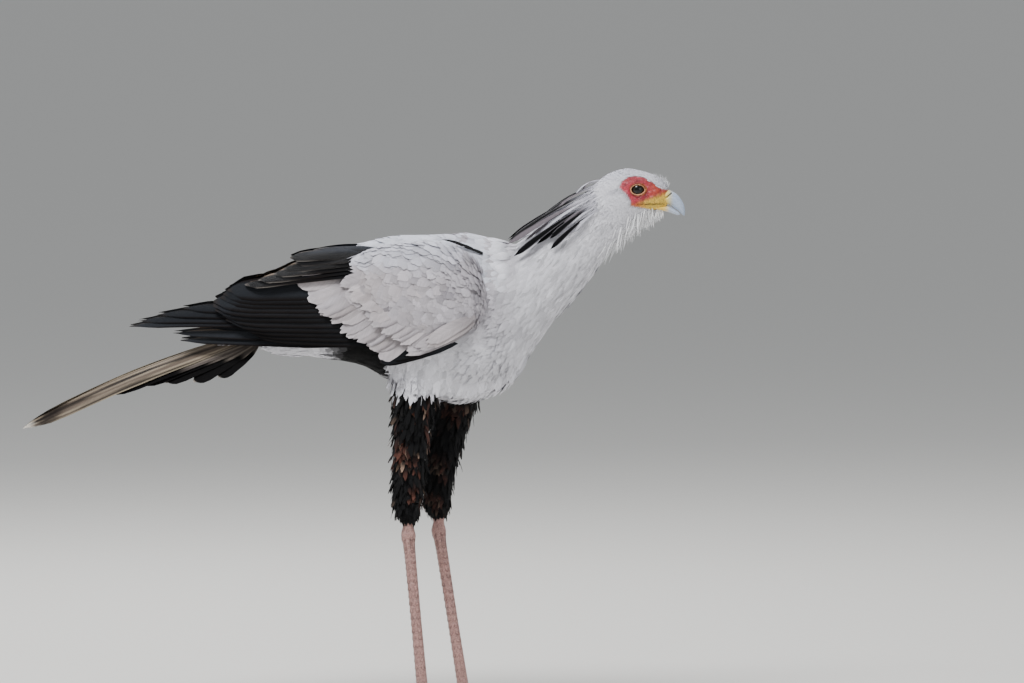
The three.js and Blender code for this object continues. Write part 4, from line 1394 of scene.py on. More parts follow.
# In each tier roots and tips are lines that its feathers' ends lie along, from the lowest feather up, face
# is the way its outer side looks and stack how far each feather lies over the one before. worn gives the
# share of buff wear on the upper edge, and the other share gives painted blue-grey sheen on the upper edge,
# where light from above falls, and the pale fringe at the edge and tip; dark is the ground colour.
PRIMARIES = {
    "count": 7, "roots": [(146, 101, 690), (128, 100, 706), (112, 98, 726)],
    "tips": [
        (-316, 32, 680), (-326, 30, 693), (-268, 30, 706), (-409, 20, 704), (-388, 21, 714),
        (-352, 24, 726), (-310, 28, 738),
    ],
    "face": (-0.145, 0.99, 0.03), "widths": (34, 40), "bow": 3, "stack": 0.8, "seed": 21,
    "outline": "primary", "worn": 0.35, "arch": 15, "face_tip": (-0.1, 0.86, 0.45),
}
SECONDARIES = {
    "count": 11, "roots": [(140, 109, 690), (100, 110, 738), (44, 105, 784)],
    "tips": [(-190, 65, 700), (-232, 60, 722), (-252, 57, 750), (-226, 58, 772)],
    "face": (-0.14, 0.98, 0.06), "widths": (46, 46), "bow": 3, "stack": 0.15, "seed": 22,
    "face_tip": (-0.12, 0.93, 0.22), "uneven": 5,
}
ROOF_FEATHERS = {
    "count": 7, "roots": [(40, 92, 810), (46, 76, 826), (52, 56, 838)],
    "tips": [
        (-196, 68, 782), (-172, 66, 790), (-146, 62, 800), (-128, 56, 808), (-104, 48, 818),
        (-114, 34, 826), (-88, 20, 830),
    ],
    "face": (-0.1, 0.6, 0.8), "widths": (42, 40), "bow": 5, "stack": 0.9, "seed": 23, "worn": 0.75,
    "sheen_and_fringe": 0.5, "dark": "#131315",
}
RUMP_COVER = {
    "count": 6, "roots": [(34, 60, 832), (44, 30, 844), (50, 6, 850)],
    "tips": [(-176, 56, 778), (-150, 44, 790), (-168, 26, 784), (-138, 16, 796), (-152, 5, 790)],
    "face": (-0.1, 0.3, 0.95), "widths": (46, 46), "bow": 5, "stack": 0.6, "seed": 28, "sheen_and_fringe": 0.35,
    "dark": "#131315",
}
GREATER_COVERTS = {
    "count": 15, "roots": [(116, 112, 704), (72, 112, 738), (26, 106, 774), (-8, 92, 798)],
    "tips": [(42, 110, 660), (-6, 105, 690), (-62, 97, 736), (-100, 90, 774)],
    "face": (-0.17, 0.97, 0.12), "widths": (32, 34), "bow": 2, "stack": 0.08, "seed": 24, "uneven": 5,
}
MEDIAN_COVERTS = {
    "count": 14, "roots": [(160, 111, 716), (132, 115, 744), (100, 115, 780), (70, 104, 808)],
    "tips": [(96, 123, 664), (56, 124, 696), (12, 117, 742), (-20, 104, 782)],
    "face": (-0.08, 0.98, 0.1), "widths": (30, 34), "bow": 1.5, "stack": 0.05, "seed": 25, "uneven": 5,
}
ALULA = {
    "count": 4, "roots": [(206, 112, 706), (214, 112, 716), (218, 112, 730)],
    "tips": [(92, 122, 658), (112, 126, 668), (134, 128, 684)],
    "face": (-0.03, 0.98, -0.1), "widths": (24, 26), "bow": 2.5, "stack": 0.5, "seed": 26, "uneven": 4,
}
UNDER_EDGE = {
    "count": 3, "roots": [(190, 98, 684), (186, 100, 690), (180, 102, 696)],
    "tips": [(48, 102, 645), (62, 106, 652), (80, 108, 660)],
    "face": (-0.03, 0.98, -0.1), "widths": (26, 26), "bow": 2, "stack": 0.5, "seed": 27, "uneven": 3,
}


class BIRD_OT_wings(bpy.types.Operator):
    """Flight feathers and coverts of the folded wings"""

    bl_idname = "bird.wings"
    bl_label = "Wings"

    def execute(self, context):
        for name, side in SIDES.items():
            flight = Vanes(26, 10)
            self.flight_tier(flight, PRIMARIES, side, 0.3)
            self.flight_tier(flight, SECONDARIES, side, 0.15)
            self.flight_tier(flight, ROOF_FEATHERS, side, 0.1)
            self.flight_tier(flight, RUMP_COVER, side, 0.1)
            self.flight_tier(flight, UNDER_EDGE, side, 0.1)
            finish_piece(flight.build(f"flight_feathers_{name}"), "wing_feather", "wing_coverts")
            coverts = Vanes(14, 8)
            self.covert_tier(coverts, GREATER_COVERTS, side)
            self.covert_tier(coverts, MEDIAN_COVERTS, side)
            self.covert_tier(coverts, ALULA, side)
            finish_piece(
                coverts.build(f"large_coverts_{name}"), "wing_feather", "wing_coverts", f"wing_{name}"
            )
            self.lesser_coverts(name, side)
            self.scapulars(name, side)
        return {"FINISHED"}

    def places(self, roots):
        return np.stack([0.1 + (roots[:, 0] + 60) / 400, 0.1 + (roots[:, 2] - 640) / 300], 1)

    def flight_tier(self, vanes, tier, side, shaft):
        coat = plumage()
        roots, tips, face, widths = tier_lines(tier, side)
        tint = even_tint(
            linear(tier.get("dark", "#25272b")), edge=linear(coat.brown) * 0.06, tip=linear("#35302e"),
            tip_from=0.965, spread=0.16, seed=tier["seed"],
        )
        worn, sheen_and_fringe = tier.get("worn", 0), tier.get("sheen_and_fringe", 0)

        def tints(k, v, u):
            upper = -u * side * np.ones_like(v)
            rows = k / (tier["count"] - 1)
            buff = smooth(0.45, 0.9, upper) * smooth(0.75, 0.45, rows) * worn
            colour = mixed(tint(k, v, u), linear("#8b7867"), buff)
            # Blue-grey over the upper edge of the upper feathers, fading towards the tip: painted sheen from
            # light above
            grey = smooth(-0.3, 0.7, upper) * smooth(0.5, 0.8, rows) * smooth(1.0, 0.7, v) * sheen_and_fringe
            colour = mixed(colour, linear("#2b303b"), grey)
            rim = smooth(0.8, 1.0, np.abs(u)) * smooth(0.6, 0.9, v) + smooth(0.975, 1.0, v)
            return mixed(colour, linear("#8d867f"), rim * sheen_and_fringe)

        if "face_tip" in tier:
            roll = {"faces_tip": np.array(tier["face_tip"]) * (1, side, 1) + 0 * roots}
        else:
            roll = {}
        # The three lowest primaries lie flat and the rest rise over them, most of all the first
        arch = np.interp(np.arange(len(roots)), [2, 3, 6], [0, 1, 0.4]) * tier.get("arch", 0)
        vanes.add(
            roots, tips, face, widths, tier.get("outline", "flight"), self.places(roots), tints,
            bow=tier["bow"], tilt=side * TILT, camber=0.05, shaft=side * shaft, ridge=0.5, thick=0.5,
            jag=0.015, ripple=0.4, seed=tier["seed"], arch=arch, **roll,
        )

    def covert_tier(self, vanes, tier, side):
        coat = plumage()
        roots, tips, face, widths = tier_lines(tier, side)
        rng = np.random.default_rng(tier["seed"] + 60)
        count = len(roots)
        tips = tips + rng.normal(0, 1, (count, 3)) * (3.0, 0.3, 3.0)
        base = mixed(linear(coat.grey), linear(coat.buff), 0.25 + 0.5 * rng.uniform(0, 1, count))
        base = base * (1 + 0.09 * rng.standard_normal(count))[:, None]
        phase = rng.uniform(0, 2 * np.pi, count)

        def tints(k, v, u):
            streak = 1 + 0.07 * np.sin(u * 8 + phase[k] + 2 * v)
            # Darker at the root: painted shade where the feather lies under the one before
            colour = base[k] * (streak * (0.62 + 0.38 * smooth(0.1, 0.6, v)))[..., None]
            # A dark band along the lower edge of some feathers: painted shade in the gap between them
            under = smooth(0.7, 1.0, u * side) * smooth(0.3, 0.6, v) * (phase[k] > 2.6)
            colour = mixed(colour, linear("#4d494d"), under * 0.6)
            return mixed(colour, linear("#d0cbce"), smooth(0.86, 1.0, v + 0.1 * np.abs(u)) * 0.5)

        vanes.add(
            roots, tips, face, widths * rng.uniform(0.85, 1.2, count), "covert", self.places(roots), tints,
            bow=tier["bow"], tilt=side * TILT * 0.6, camber=0.05, shaft=side * 0.08, ridge=0.3, thick=0.5,
            jag=0.13, round_tip=0.16, ripple=0.4, sweep=rng.normal(0, 0.03, count), seed=tier["seed"],
        )

    def lesser_coverts(self, name, side):
        """Small grey feathers in rows over the arm, larger towards the wing's rear."""
        coat = plumage()
        rng = np.random.default_rng(31)
        roots, tips, normals, sizes, places = [], [], [], [], []
        t, row = 0.01, 0
        while t < 0.86:
            (x,), _, (top,), (bottom,) = arm_ring(np.array([t]))
            size = np.interp(t, [0, 0.3, 0.8], [23, 30, 42])
            step = size * 0.26
            tall = top - bottom
            count = max(4, int(math.pi / 2 * tall / (size * 0.34)))
            angle = np.linspace(-1.45, 1.5, count) + (row % 2) * 1.4 / count
            angle = angle + rng.uniform(-0.3, 0.3, count) / count
            here = arm_point(np.full(count, t), angle, -2.0)
            du = arm_point(np.full(count, t + 0.01), angle) - arm_point(np.full(count, t - 0.01), angle)
            da = arm_point(np.full(count, t), angle + 0.02) - arm_point(np.full(count, t), angle - 0.02)
            normal = unit(np.cross(da, du))
            outwards = np.stack([0 * angle, np.cos(angle), np.sin(angle)], 1)
            normal *= np.sign(np.sum(normal * outwards, 1))[:, None]
            down = np.interp(x, [0, 120, 236], [0.5, 0.62, 0.8])
            lie = np.stack([-np.ones(count), np.zeros(count), -down * np.cos(angle)], 1)
            lie = unit(lie - normal * np.sum(lie * normal, 1)[:, None])
            stray = rng.normal(0, np.interp(t, [0.1, 0.5], [0.06, 0.13]), (count, 1))
            lie = unit(lie + np.cross(normal, lie) * stray)
            length = size * rng.uniform(0.8, 1.25, count)
            roots.append(here)
            lift = rng.uniform(0.8, 1.1, (count, 1)) * np.interp(t, [0, 0.1, 0.3], [1.0, 1.3, 2.4])
            tips.append(here + lie * length[:, None] + normal * lift)
            normals.append(normal)
            sizes.append(length)
            places.append(np.stack([np.full(count, 0.05 + 0.9 * t), 0.5 + angle / 3.4], 1))
            t += step / ARM_LENGTH
            row += 1
        roots, tips, normals, places = (np.concatenate(v) for v in (roots, tips, normals, places))
        sizes = np.concatenate(sizes)
        flip = np.array([1, side, 1])
        rear = smooth(200, 40, roots[:, 0])
        warm = rear * 0.5 + 0.3 * cloud(roots, 55, 75)
        base = mixed(linear(coat.grey) * 1.05, linear(coat.buff), warm)
        base = mixed(base, linear("#6c6870"), 0.6 * smooth(0.3, 1.4, cloud(roots, 38, 76)))
        # Bluish white over the top of the arm: painted light from the sky above
        base = mixed(base, linear("#cdd0dc"), smooth(810, 845, roots[:, 2]) * 0.7)
        shade = 1 + 0.09 * rng.standard_normal(len(roots)) + 0.1 * cloud(roots, 24, 77)

        def tints(k, v, u):
            # Darker at the root: painted shade where the feather lies under its neighbours
            colour = base[k] * shade[k][..., None] * painted_root_shade(v, u, 0.66, 0.1, 0.65)
            edge = smooth(0.6, 1.0, np.maximum(np.abs(u), v))
            return mixed(colour, linear("#d3ced2"), edge * 0.25)

        vanes = Vanes(6, 4)
        vanes.add(
            roots * flip, tips * flip, normals * flip, sizes * 0.56, "covert", places, tints,
            bow=sizes * 0.04, camber=0.05, jag=0.16, round_tip=0.16, thick=0.5,
            sweep=rng.normal(0, 0.04, len(roots)), seed=32,
        )
        finish_piece(vanes.build(f"lesser_coverts_{name}"), "body_feather", "wing_coverts")

    def scapulars(self, name, side):
        """Long grey feathers that lie back from the shoulder over the wing's upper edge."""
        coat = plumage()
        rng = np.random.default_rng(33)
        station, angle = [], []
        for s in np.arange(3.35, 7.5, 0.16):
            count = 11
            angle.append(np.radians(np.linspace(3, 66, count)) + rng.uniform(-0.06, 0.06, count))
            station.append(np.full(count, s) + rng.uniform(-0.12, 0.12, count))
        station, angle = np.concatenate(station), side * np.concatenate(angle)
        flip = np.array([1, side, 1])
        normal = BODY.normal(station, angle)
        back = -BODY.forward(station, angle)
        outwards = np.sin(np.abs(angle))
        grow = 1.0 + 7 * smooth(0.4, 0.9, outwards) * smooth(7.2, 5.2, station)
        roots = BODY.point(station, angle, grow - 4)
        size = np.interp(station, [3.3, 5, 6.3, 7.6], [56, 50, 38, 24])
        size = size * rng.uniform(0.8, 1.2, len(station))
        tips = roots + back * size[:, None] + normal * np.interp(station, [4, 7.6], [4.2, 2.4])[:, None]
        base = mixed(linear("#cdcfd9"), linear(coat.white), smooth(6.4, 7.6, station))
        base = mixed(base, linear("#84848f"), 0.45 * smooth(0.4, 1.3, cloud(roots, 36, 78)))
        shade = 1.03 + 0.07 * rng.standard_normal(len(roots))

        def tints(k, v, u):
            # Darker at the root: painted shade where the feather lies under its neighbours
            colour = base[k] * shade[k][..., None] * painted_root_shade(v, u, 0.7, 0.1, 0.6, 1.03)
            return mixed(colour, linear("#d8d8e0"), smooth(0.7, 1.0, np.abs(u) * np.ones_like(v)) * 0.3)

        places = coat_places(station / 21, angle)
        vanes = Vanes(7, 4)
        vanes.add(
            roots, tips, normal, size * 0.5, "covert", places, tints, bow=size * 0.03, camber=0.08,
            jag=0.12, round_tip=0.14, thick=0.6, sweep=rng.normal(0, 0.04, len(roots)), seed=34,
        )
        # Near-black vanes in the cleft between the shoulder and the base of the neck: painted shade in the
        # cleft
        gap = np.array([(232, 60, 838), (214, 64, 846), (196, 62, 853)]) * flip
        gap_tips = np.array([(196, 62, 849), (176, 62, 858), (158, 58, 863)]) * flip
        vanes.add(
            gap, gap_tips, np.array([0.0, side * 0.6, 0.8]), 9, "lock", np.full((3, 2), 0.5),
            even_tint(linear(coat.black) * 2), bow=2.5, thick=0.5, seed=35,
        )
        finish_piece(vanes.build(f"scapulars_{name}"), "body_feather", "wing_coverts")


# Tail

# The tail falls below level, each half slopes outwards like a roof, and each feather lies a step under
# the one before
TAIL_ROOT = np.array([-180.0, 0.0, 697.0])
TAIL_FALL = math.radians(20)
TAIL_SLOPE = math.radians(46)
TAIL_STEP = 1.5
MIDDLE_PAIR = {"tip": (-599, 5, 517), "width": 42, "bow": 13, "lift": 7, "roll": math.radians(38)}
# Length, degrees turned down from the middle pair, width and bow of each shorter pair
TAIL_PAIRS = [(292, 0.5, 42, 8), (228, 1.5, 41, 6), (184, 6, 40, 4), (140, 16, 38, 2), (100, 28, 36, 1)]


class BIRD_OT_tail(bpy.types.Operator):
    """Twelve graduated tail feathers and the coverts over and under their roots"""

    bl_idname = "bird.tail"
    bl_label = "Tail"

    def execute(self, context):
        back = np.array([-math.cos(TAIL_FALL), 0, -math.sin(TAIL_FALL)])
        up = np.array([-math.sin(TAIL_FALL), 0, math.cos(TAIL_FALL)])
        vanes = Vanes(34, 10)
        for side in SIDES.values():
            stagger = TAIL_STEP if side == 1 else 0
            outwards = np.array([0.0, side, 0.0])
            face = up * math.cos(TAIL_SLOPE) + outwards * math.sin(TAIL_SLOPE)
            down = outwards * math.cos(TAIL_SLOPE) - up * math.sin(TAIL_SLOPE)
            rolled = up * math.cos(MIDDLE_PAIR["roll"]) + outwards * math.sin(MIDDLE_PAIR["roll"])
            tip = np.array(MIDDLE_PAIR["tip"]) * (1, side, 1) + (0, 0, stagger)
            root = TAIL_ROOT + up * (MIDDLE_PAIR["lift"] + stagger) + down * (MIDDLE_PAIR["width"] / 2)
            vanes.add(
                [root], [tip], [rolled], MIDDLE_PAIR["width"], "flight", [(0.5, 0.9)], self.middle_tint,
                bow=MIDDLE_PAIR["bow"], camber=0.06, shaft=0.0, ridge=0.6, thick=0.7, jag=0.02, ripple=0.6,
                seed=41,
            )
            for k, (length, spread, width, bow) in enumerate(TAIL_PAIRS):
                turn = math.radians(spread)
                away = back * math.cos(turn) + down * math.sin(turn)
                root = TAIL_ROOT - face * TAIL_STEP * k + down * (width / 2 + 2 * k)
                place = (0.5 + side * 0.08 * (k + 1), 0.6)
                vanes.add(
                    [root], [root + away * length], [face], width, "flight", [place], self.banded_tint(k),
                    bow=bow, camber=0.05, shaft=side * 0.2, ridge=0.5, thick=0.6, jag=0.02, ripple=0.4,
                    seed=42 + k,
                )
        finish_piece(vanes.build("tail_feathers"), "wing_feather", "tail_feathers", "tail")
        self.coverts()
        return {"FINISHED"}

    def middle_tint(self, k, v, u):
        base = np.broadcast_to(linear("#63584f"), np.broadcast_shapes(v.shape, u.shape) + (3,))
        streak = 0.5 + 0.5 * np.sin(u * 11 + 1.3 * np.sin(v * 7) + v * 3)
        base = mixed(base, linear("#a89a86"), streak**3 * 0.75)
        stripe = smooth(0.2, 0.8, np.sin(u * 6 + 0.8 * np.sin(v * 9) + 0.6))
        base = mixed(base, linear("#1d1a19"), stripe * 0.9)
        base = mixed(base, linear("#c2b49c"), smooth(0.8, 1.0, np.abs(u) * np.ones_like(v)) * 0.5)
        band = smooth(0.78, 0.85, v + 0.04 * u) * smooth(0.94, 0.9, v + 0.04 * u)
        base = mixed(base, linear("#1f1b1a"), band * 0.85)
        return mixed(base, linear("#d8d2c8"), smooth(0.94, 0.98, v) * np.ones_like(u))

    def banded_tint(self, pair):
        start = 0.42 - 0.07 * pair

        def tint(k, v, u):
            base = np.broadcast_to(linear("#57504c"), np.broadcast_shapes(v.shape, u.shape) + (3,))
            pale = smooth(0.5, 1.0, np.sin(u * 9 + 0.9 * np.sin(v * 6) + pair))
            base = mixed(base, linear("#9d9286"), pale * 0.7)
            base = mixed(base, linear("#0e0d0e"), smooth(start, start + 0.12, v) * np.ones_like(u))
            return mixed(base, linear("#b9b0a6"), smooth(0.965, 0.99, v) * np.ones_like(u))

        return tint

    def coverts(self):
        """Pale coverts that hide the roots of the tail feathers, above and below."""
        coat = plumage()
        rng = np.random.default_rng(45)
        count = 420
        t = rng.uniform(0, 1, count) ** 0.9
        angle = rng.uniform(0, 2 * np.pi, count)
        middle = TAIL_ROOT + np.array([18, 0, -4])[None] + np.stack([-48 * t, 0 * t, -16 * t], 1)
        radius_y = np.interp(t, [0, 1], [21, 15])
        radius_z = np.interp(t, [0, 1], [20, 9])
        outwards = np.stack([0 * t, np.sin(angle), np.cos(angle)], 1)
        roots = middle + outwards * np.stack([0 * t, radius_y, radius_z], 1)
        size = rng.uniform(26, 50, count)
        lie = unit(np.array([-0.93, 0, -0.34])[None] - outwards * 0.05 + rng.normal(0, 0.06, (count, 3)))
        tips = roots + lie * size[:, None]
        above = smooth(-0.5, 0.0, np.cos(angle))
        base = mixed(linear(coat.white) * 0.92, linear("#b5b0b3"), above)

        def tints(k, v, u):
            # Darker at the root: painted shade where the feather lies under its neighbours
            return base[k] * painted_root_shade(v, u, 0.7, 0.05, 0.6)

        places = np.stack([0.05 + 0.9 * t, angle / (2 * np.pi)], 1)
        vanes = Vanes(6, 4)
        vanes.add(
            roots, tips, outwards, size * 0.34, "plume", places, tints, bow=2.0, camber=0.1, jag=0.2,
            thick=0.5, seed=46,
        )
        finish_piece(vanes.build("tail_coverts"), "body_feather", "plumage")


# Legs


class BIRD_OT_legs(bpy.types.Operator):
    """Black thigh feathers, scutes of the tarsus and toes, and claws"""

    bl_idname = "bird.legs"
    bl_label = "Legs"

    def execute(self, context):
        for name, side in SIDES.items():
            self.thigh(name, side)
            self.scutes(name, side)
            for toe in TOES:
                self.claw(name, side, toe)
        return {"FINISHED"}

    def thigh(self, name, side):
        """Loose hair-like feathers, black with rusty patches, under a fringe of the white flank."""
        coat = plumage()
        leg = LEGS[name]
        rng = np.random.default_rng(51 if side == 1 else 52)
        rings, around = 62, 44
        halves = [(a - THIGH_COAT * 0.8, b - THIGH_COAT * 0.8) for a, b in THIGH_HALVES]
        forms = moved_out(limb_rings(thigh_path(leg), halves, rings, around), side)
        along = unit(np.gradient(forms, axis=0))
        outwards = unit(forms - forms.mean(1, keepdims=True))
        roots, lie, normal = (v.reshape(-1, 3) for v in (forms, along, outwards))
        share = np.repeat(np.linspace(0, 1, rings), around)
        keep = share < 0.985
        roots, lie, normal, share = roots[keep], lie[keep], normal[keep], share[keep]
        count = len(roots)
        roots = roots + rng.normal(0, 2.0, (count, 3)) * np.array([1, 1, 1.6])
        size = np.interp(share, [0, 0.7, 1], [38, 31, 19]) * rng.uniform(0.65, 1.25, count)
        flow = unit(lie + rng.normal(0, 0.13, (count, 3)) + normal * rng.uniform(0.1, 0.3, (count, 1)))
        tips = roots + flow * size[:, None]
        patches = np.zeros(count)
        for _ in range(6):
            wave = rng.normal(0, 1, 3) * (0.16, 0.16, 0.06)
            patches += np.sin(roots @ wave + rng.uniform(0, 6.28))
        rusty = smooth(0.6, 2.2, patches) * (1.0 if name == "right" else 0.35) * rng.uniform(0.3, 1, count)
        # The uppermost are white, like the flank over them
        white = roots[:, 2] + rng.normal(0, 4, count) > 598
        buff = rng.uniform(size=count) < 0.3
        rust = np.where(buff[:, None], linear("#a08573"), linear("#6a4237"))

        def tints(k, v, u):
            dark = np.broadcast_to(linear(coat.black), np.broadcast_shapes(k.shape, v.shape, u.shape) + (3,))
            share_rust = smooth(0.25, 0.8, v) * rusty[k] * np.ones_like(u)
            share_rust = share_rust[..., None]
            mottled = dark * (1 - share_rust) + rust[k] * share_rust
            # The white feathers are darker at the root: painted shade where they lie under their neighbours
            pale = linear(coat.white) * painted_root_shade(v, u, 0.75, 0, 0.6)
            return np.where(white[k][..., None], pale, mottled)

        places = np.stack([0.05 + 0.9 * share, (np.arange(count) % around) / around], 1)
        vanes = Vanes(5, 2)
        vanes.add(
            roots, tips, normal, size * 0.22, "plume", places, tints, bow=1.5, camber=0.1, jag=0.35,
            thick=0.4, sweep=rng.normal(0, 0.09, count), seed=53,
        )
        finish_piece(vanes.build(f"thigh_feathers_{name}"), "thigh_feather", "thigh_feathers")
        self.flank_fringe(name, side)

    def flank_fringe(self, name, side):
        """White feathers of the flank that hang over the top of the thigh."""
        rng = np.random.default_rng(58 + side)
        count = 1150
        hip = LEGS[name]["hip"][0]
        x = rng.uniform(66, 292, count)
        edge = np.interp(x, [66, 95, 150, 205, 260, 292], [612, 586, 577, 571, 592, 612])
        tip_z = edge + 62 * rng.uniform(0, 1, count) ** 1.3
        size = rng.uniform(38, 62, count)
        root_z = tip_z + size * 0.9
        tip_y = np.interp(x - hip, [-60, -40, -12, 14, 40, 90, 180], [40, 70, 84, 86, 70, 56, 40])
        tip_y = np.maximum(tip_y, self.body_reach(x, tip_z) + 1)
        tip_y = tip_y * np.interp(tip_z - edge, [0, 62], [0.97, 1.02])
        root_y = np.maximum(self.body_reach(x + size * 0.3, root_z) - 5, 20)
        roots = np.stack([x + size * 0.3, side * root_y, root_z], 1)
        tips = np.stack([x, side * (tip_y + rng.uniform(-3, 1, count)), tip_z], 1)
        normal = unit(np.stack([0 * x, side * np.ones(count), -0.45 * np.ones(count)], 1))
        places = np.stack([x / 320, (root_z - 560) / 160], 1)
        white = linear(plumage().white)
        vanes = Vanes(5, 4)
        # The roots are half as bright as the white: painted shade where the feathers lie under their
        # neighbours
        vanes.add(
            roots, tips, normal, size * 0.36, "plume", places,
            even_tint(white, root=white * 0.5, spread=0.1),
            bow=3.0, camber=0.1, jag=0.3, thick=0.4, sweep=rng.normal(0, 0.07, count), seed=59,
        )
        finish_piece(vanes.build(f"flank_fringe_{name}"), "body_feather", "plumage")

    def body_reach(self, x, z):
        """How far out the trunk's surface lies at a place in side view."""
        trunk = STATIONS[:10]
        tops, bottoms = np.array([top for top, _, _ in trunk]), np.array([bottom for _, bottom, _ in trunk])
        half = np.array([width for _, _, width in trunk])
        at, height = ((tops + bottoms) / 2).T
        tall = (tops - bottoms)[:, 1] / 2
        rise = (z - np.interp(x, at, height)) / np.interp(x, at, tall)
        return np.interp(x, at, half) * np.sqrt(np.clip(1 - rise**2, 0, 1))

    def scutes(self, name, side):
        """Broad plates down the front of the tarsus and on top of each toe."""
        bare_skin = bare()
        leg = LEGS[name]
        roots, tips, faces, widths = [], [], [], []
        path = np.array(tarsus_path(leg)[2:])
        t = np.linspace(0.02, 0.97, 44)
        axis = catmull(path, t) + np.array([0, side * LEG_OUT, 0])
        down = unit(np.gradient(axis, axis=0))
        fore = unit(np.cross(np.array([0.0, 1.0, 0.0]), down))
        fore *= np.sign(fore[:, 0])[:, None]
        for turn in (-58, -20, 20, 58, 180, 140, -140):
            a = math.radians(turn)
            outwards = fore * math.cos(a) + np.array([0.0, 1.0, 0.0]) * math.sin(a)
            radius = np.interp(t, [0, 0.1, 0.5, 0.93, 1], [12.8, 10.4, 9.3, 10.3, 12])
            radius = radius * (1 - 0.12 * abs(math.sin(a)))
            start = axis + outwards * (radius + 0.1)[:, None] - down * 2
            roots.append(start)
            tips.append(start + down * 9.0 + outwards * 0.9)
            faces.append(outwards)
            widths.append(np.full(len(t), 7.4))
        for toe in TOES.values():
            reach = np.linspace(0.18, 0.97, 11) * toe["length"]
            points = moved_out(np.array([toe_line(leg, toe, side, r, SOLE + 2) for r in reach]), side)
            heading = unit(points[-1] - points[0])
            half = np.interp(reach, [0, toe["length"]], [toe["half"] + 0.6, toe["half"] - 1.6])
            start = points + np.array([0, 0, 1]) * (half - 1.2)[:, None]
            roots.append(start)
            tips.append(start + heading * 7 + np.array([0, 0, -0.4]))
            faces.append(np.broadcast_to(np.array([0.0, 0, 1]), start.shape))
            widths.append(half * 1.5)
        roots, tips, faces = (np.concatenate(v) for v in (roots, tips, faces))
        widths = np.concatenate(widths)
        tint = even_tint(
            linear(bare_skin.leg), edge=linear("#6d4f4c"), tip=linear("#7a5a55"), tip_from=0.8,
            spread=0.1, seed=54,
        )
        places = np.stack([np.linspace(0.02, 0.98, len(roots)), np.full(len(roots), 0.5)], 1)
        vanes = Vanes(4, 6)
        vanes.add(
            roots, tips, faces, widths, "covert", places, tint, camber=0.16, round_tip=0.2, thick=0.9,
            seed=55,
        )
        finish_piece(vanes.build(f"scutes_{name}"), "leg_skin", "leg_skin")

    def claw(self, name, side, toe_name):
        toe, leg = TOES[toe_name], LEGS[name]
        length, half, claw = toe["length"], toe["half"], toe["claw"]
        start = length - 2.0
        path = [
            toe_line(leg, toe, side, start, SOLE + 0.4),
            toe_line(leg, toe, side, start + claw * 0.5, SOLE + 1.2),
            toe_line(leg, toe, side, start + claw * 0.88, 3.6),
            toe_line(leg, toe, side, start + claw + 2.6, 1.2),
        ]
        thick = half - 3
        halves = [(thick, thick - 0.6), (thick - 0.8, thick - 1.4), (thick - 2.2, thick - 2.6), (0.5, 0.5)]
        piece = tube(f"claw_{toe_name}_horn_{name}", moved_out(limb_rings(path, halves, 22, 20), side))
        points = coordinates(piece)
        points[:, 2] = np.maximum(points[:, 2], 0.1)
        move_points(piece, points)
        set_tint(piece, np.broadcast_to(linear("#2b2623"), (len(points), 3)))
        finish_piece(piece, "claw_horn", "claw_horn", f"claw_{toe_name}_{name}")


# Stage

# The middle of the picture and its width in millimetres at the bird, the camera's height angle, its
# sensor in millimetres, and the floor's radius in metres
VIEW_CENTRE = (284.4, 0.0, 675.7)
VIEW_WIDTH = 1843.2
VIEW_ELEVATION = math.radians(4)
SENSOR = 36.0
FLOOR_RADIUS = 70.0
# Each area light's place in metres, its side in metres and its power in watts
LIGHTS = {
    "Key light": ((-1.0, -2.6, 4.4), 1.5, 235),
    "Fill light": ((3.2, -3.2, 1.6), 2.6, 30),
    "Back light": ((-0.8, 2.8, 3.2), 2.0, 80),
    "Floor light": ((0.3, 2.2, 5.0), 4.0, 120),
}
LIGHT_TARGET = (0.1, 0.0, 0.65)
SKY = "#e9edf2"
SKY_STRENGTH = 0.52


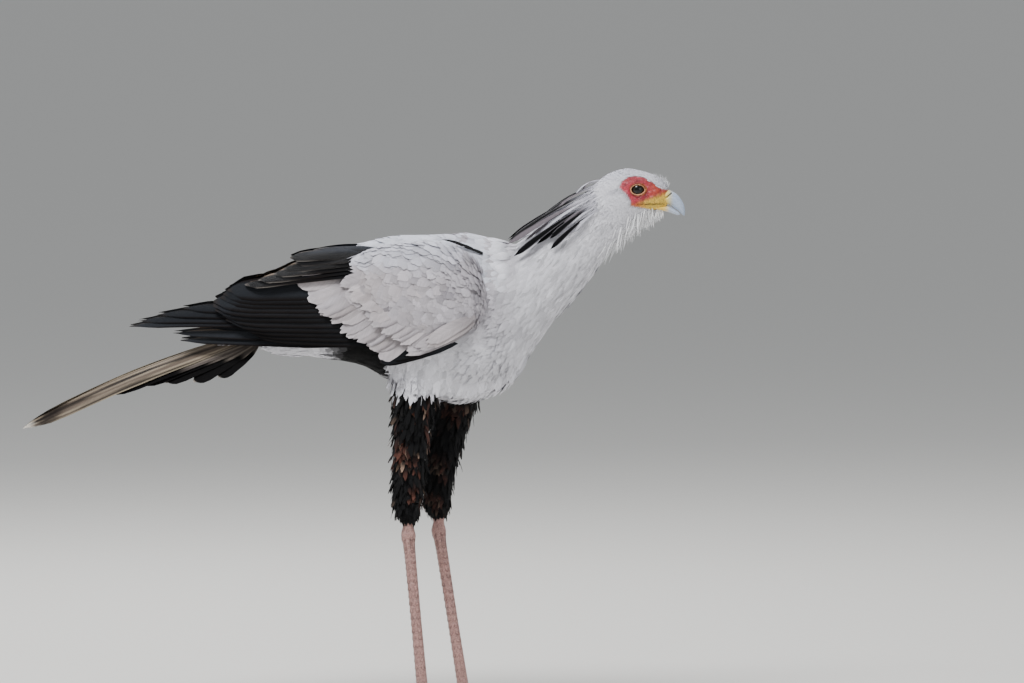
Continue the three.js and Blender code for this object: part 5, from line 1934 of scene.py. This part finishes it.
class BIRD_OT_stage(bpy.types.Operator):
    """Pale floor, soft studio light and a camera at the picture's own framing"""

    bl_idname = "bird.stage"
    bl_label = "Stage"

    def execute(self, context):
        self.floor()
        for name, (place, size, power) in LIGHTS.items():
            self.light(name, place, size, power)
        world = bpy.data.worlds.new("Studio")
        world.use_nodes = True
        world.node_tree.nodes["Background"].inputs["Color"].default_value = (*linear(SKY), 1)
        world.node_tree.nodes["Background"].inputs["Strength"].default_value = SKY_STRENGTH
        context.scene.world = world
        self.camera(context)
        return {"FINISHED"}

    def floor(self):
        """A floor so wide that its edge lies past the top of the picture in the main view."""
        bpy.ops.object.select_all(action="DESELECT")
        bpy.ops.mesh.primitive_circle_add(vertices=96, radius=FLOOR_RADIUS, fill_type="NGON")
        floor = bpy.context.object
        floor.name = "floor"
        floor.data.name = "floor"
        material, shader = new_material("Pale plaster", 0.85)
        where = add_node(material, "ShaderNodeTexCoord")
        grain = add_node(
            material,
            "ShaderNodeTexNoise",
            inputs={"Vector": where.outputs["Object"], "Scale": 60.0, "Detail": 4.0},
        )
        colour = add_node(
            material,
            "ShaderNodeMix",
            {"data_type": "RGBA"},
            {
                0: grain.outputs["Fac"],
                6: (*linear(bpy.context.scene.bird_stage.floor), 1),
                7: (*linear("#dedcd7"), 1),
            },
        )
        link(material, colour.outputs[2], shader.inputs["Base Color"])
        floor.data.materials.append(material)

    def light(self, name, place, size, power):
        bpy.ops.object.light_add(type="AREA", location=place)
        light = bpy.context.object
        light.name = name
        light.data.size = size
        light.data.energy = power
        target = Vector(LIGHT_TARGET)
        light.rotation_euler = (target - Vector(place)).to_track_quat("-Z", "Y").to_euler()

    def camera(self, context):
        distance = context.scene.bird_stage.distance
        centre = Vector(((VIEW_CENTRE[0] + SHIFT_X) * MM, VIEW_CENTRE[1], VIEW_CENTRE[2] * MM))
        back = Vector((0, -math.cos(VIEW_ELEVATION), math.sin(VIEW_ELEVATION)))
        data = bpy.data.cameras.new("Camera")
        data.sensor_width = SENSOR
        data.lens = SENSOR * distance / (VIEW_WIDTH * MM)
        data.clip_end = 200
        camera = bpy.data.objects.new("Camera", data)
        camera.location = centre + back * distance
        camera.rotation_euler = (-back).to_track_quat("-Z", "Y").to_euler()
        context.collection.objects.link(camera)
        context.scene.camera = camera


STEPS = (
    BIRD_OT_skin,
    BIRD_OT_eyes,
    BIRD_OT_bill,
    BIRD_OT_body_coat,
    BIRD_OT_head_coat,
    BIRD_OT_crest,
    BIRD_OT_wings,
    BIRD_OT_tail,
    BIRD_OT_legs,
    BIRD_OT_stage,
)


class BIRD_PT_panel(bpy.types.Panel):
    """Lists the steps that dress the bird, and their settings"""

    bl_idname = "BIRD_PT_panel"
    bl_label = "Secretary bird"
    bl_space_type = "VIEW_3D"
    bl_region_type = "UI"
    bl_category = "Bird"

    def draw(self, context):
        for group in (context.scene.bird_plumage, context.scene.bird_bare, context.scene.bird_stage):
            for key in group.__annotations__:
                self.layout.prop(group, key)
        for step in STEPS:
            self.layout.operator(step.bl_idname)


CLASSES = (BIRD_PG_plumage, BIRD_PG_bare, BIRD_PG_stage) + STEPS + (BIRD_PT_panel,)


def register():
    for cls in CLASSES:
        bpy.utils.register_class(cls)
    bpy.types.Scene.bird_plumage = bpy.props.PointerProperty(type=BIRD_PG_plumage)
    bpy.types.Scene.bird_bare = bpy.props.PointerProperty(type=BIRD_PG_bare)
    bpy.types.Scene.bird_stage = bpy.props.PointerProperty(type=BIRD_PG_stage)


def unregister():
    del bpy.types.Scene.bird_stage
    del bpy.types.Scene.bird_bare
    del bpy.types.Scene.bird_plumage
    for cls in reversed(CLASSES):
        bpy.utils.unregister_class(cls)


def main():
    register()
    make_materials()
    for step in STEPS:
        area, name = step.bl_idname.split(".")
        getattr(getattr(bpy.ops, area), name)()


if __name__ == "__main__":
    main()
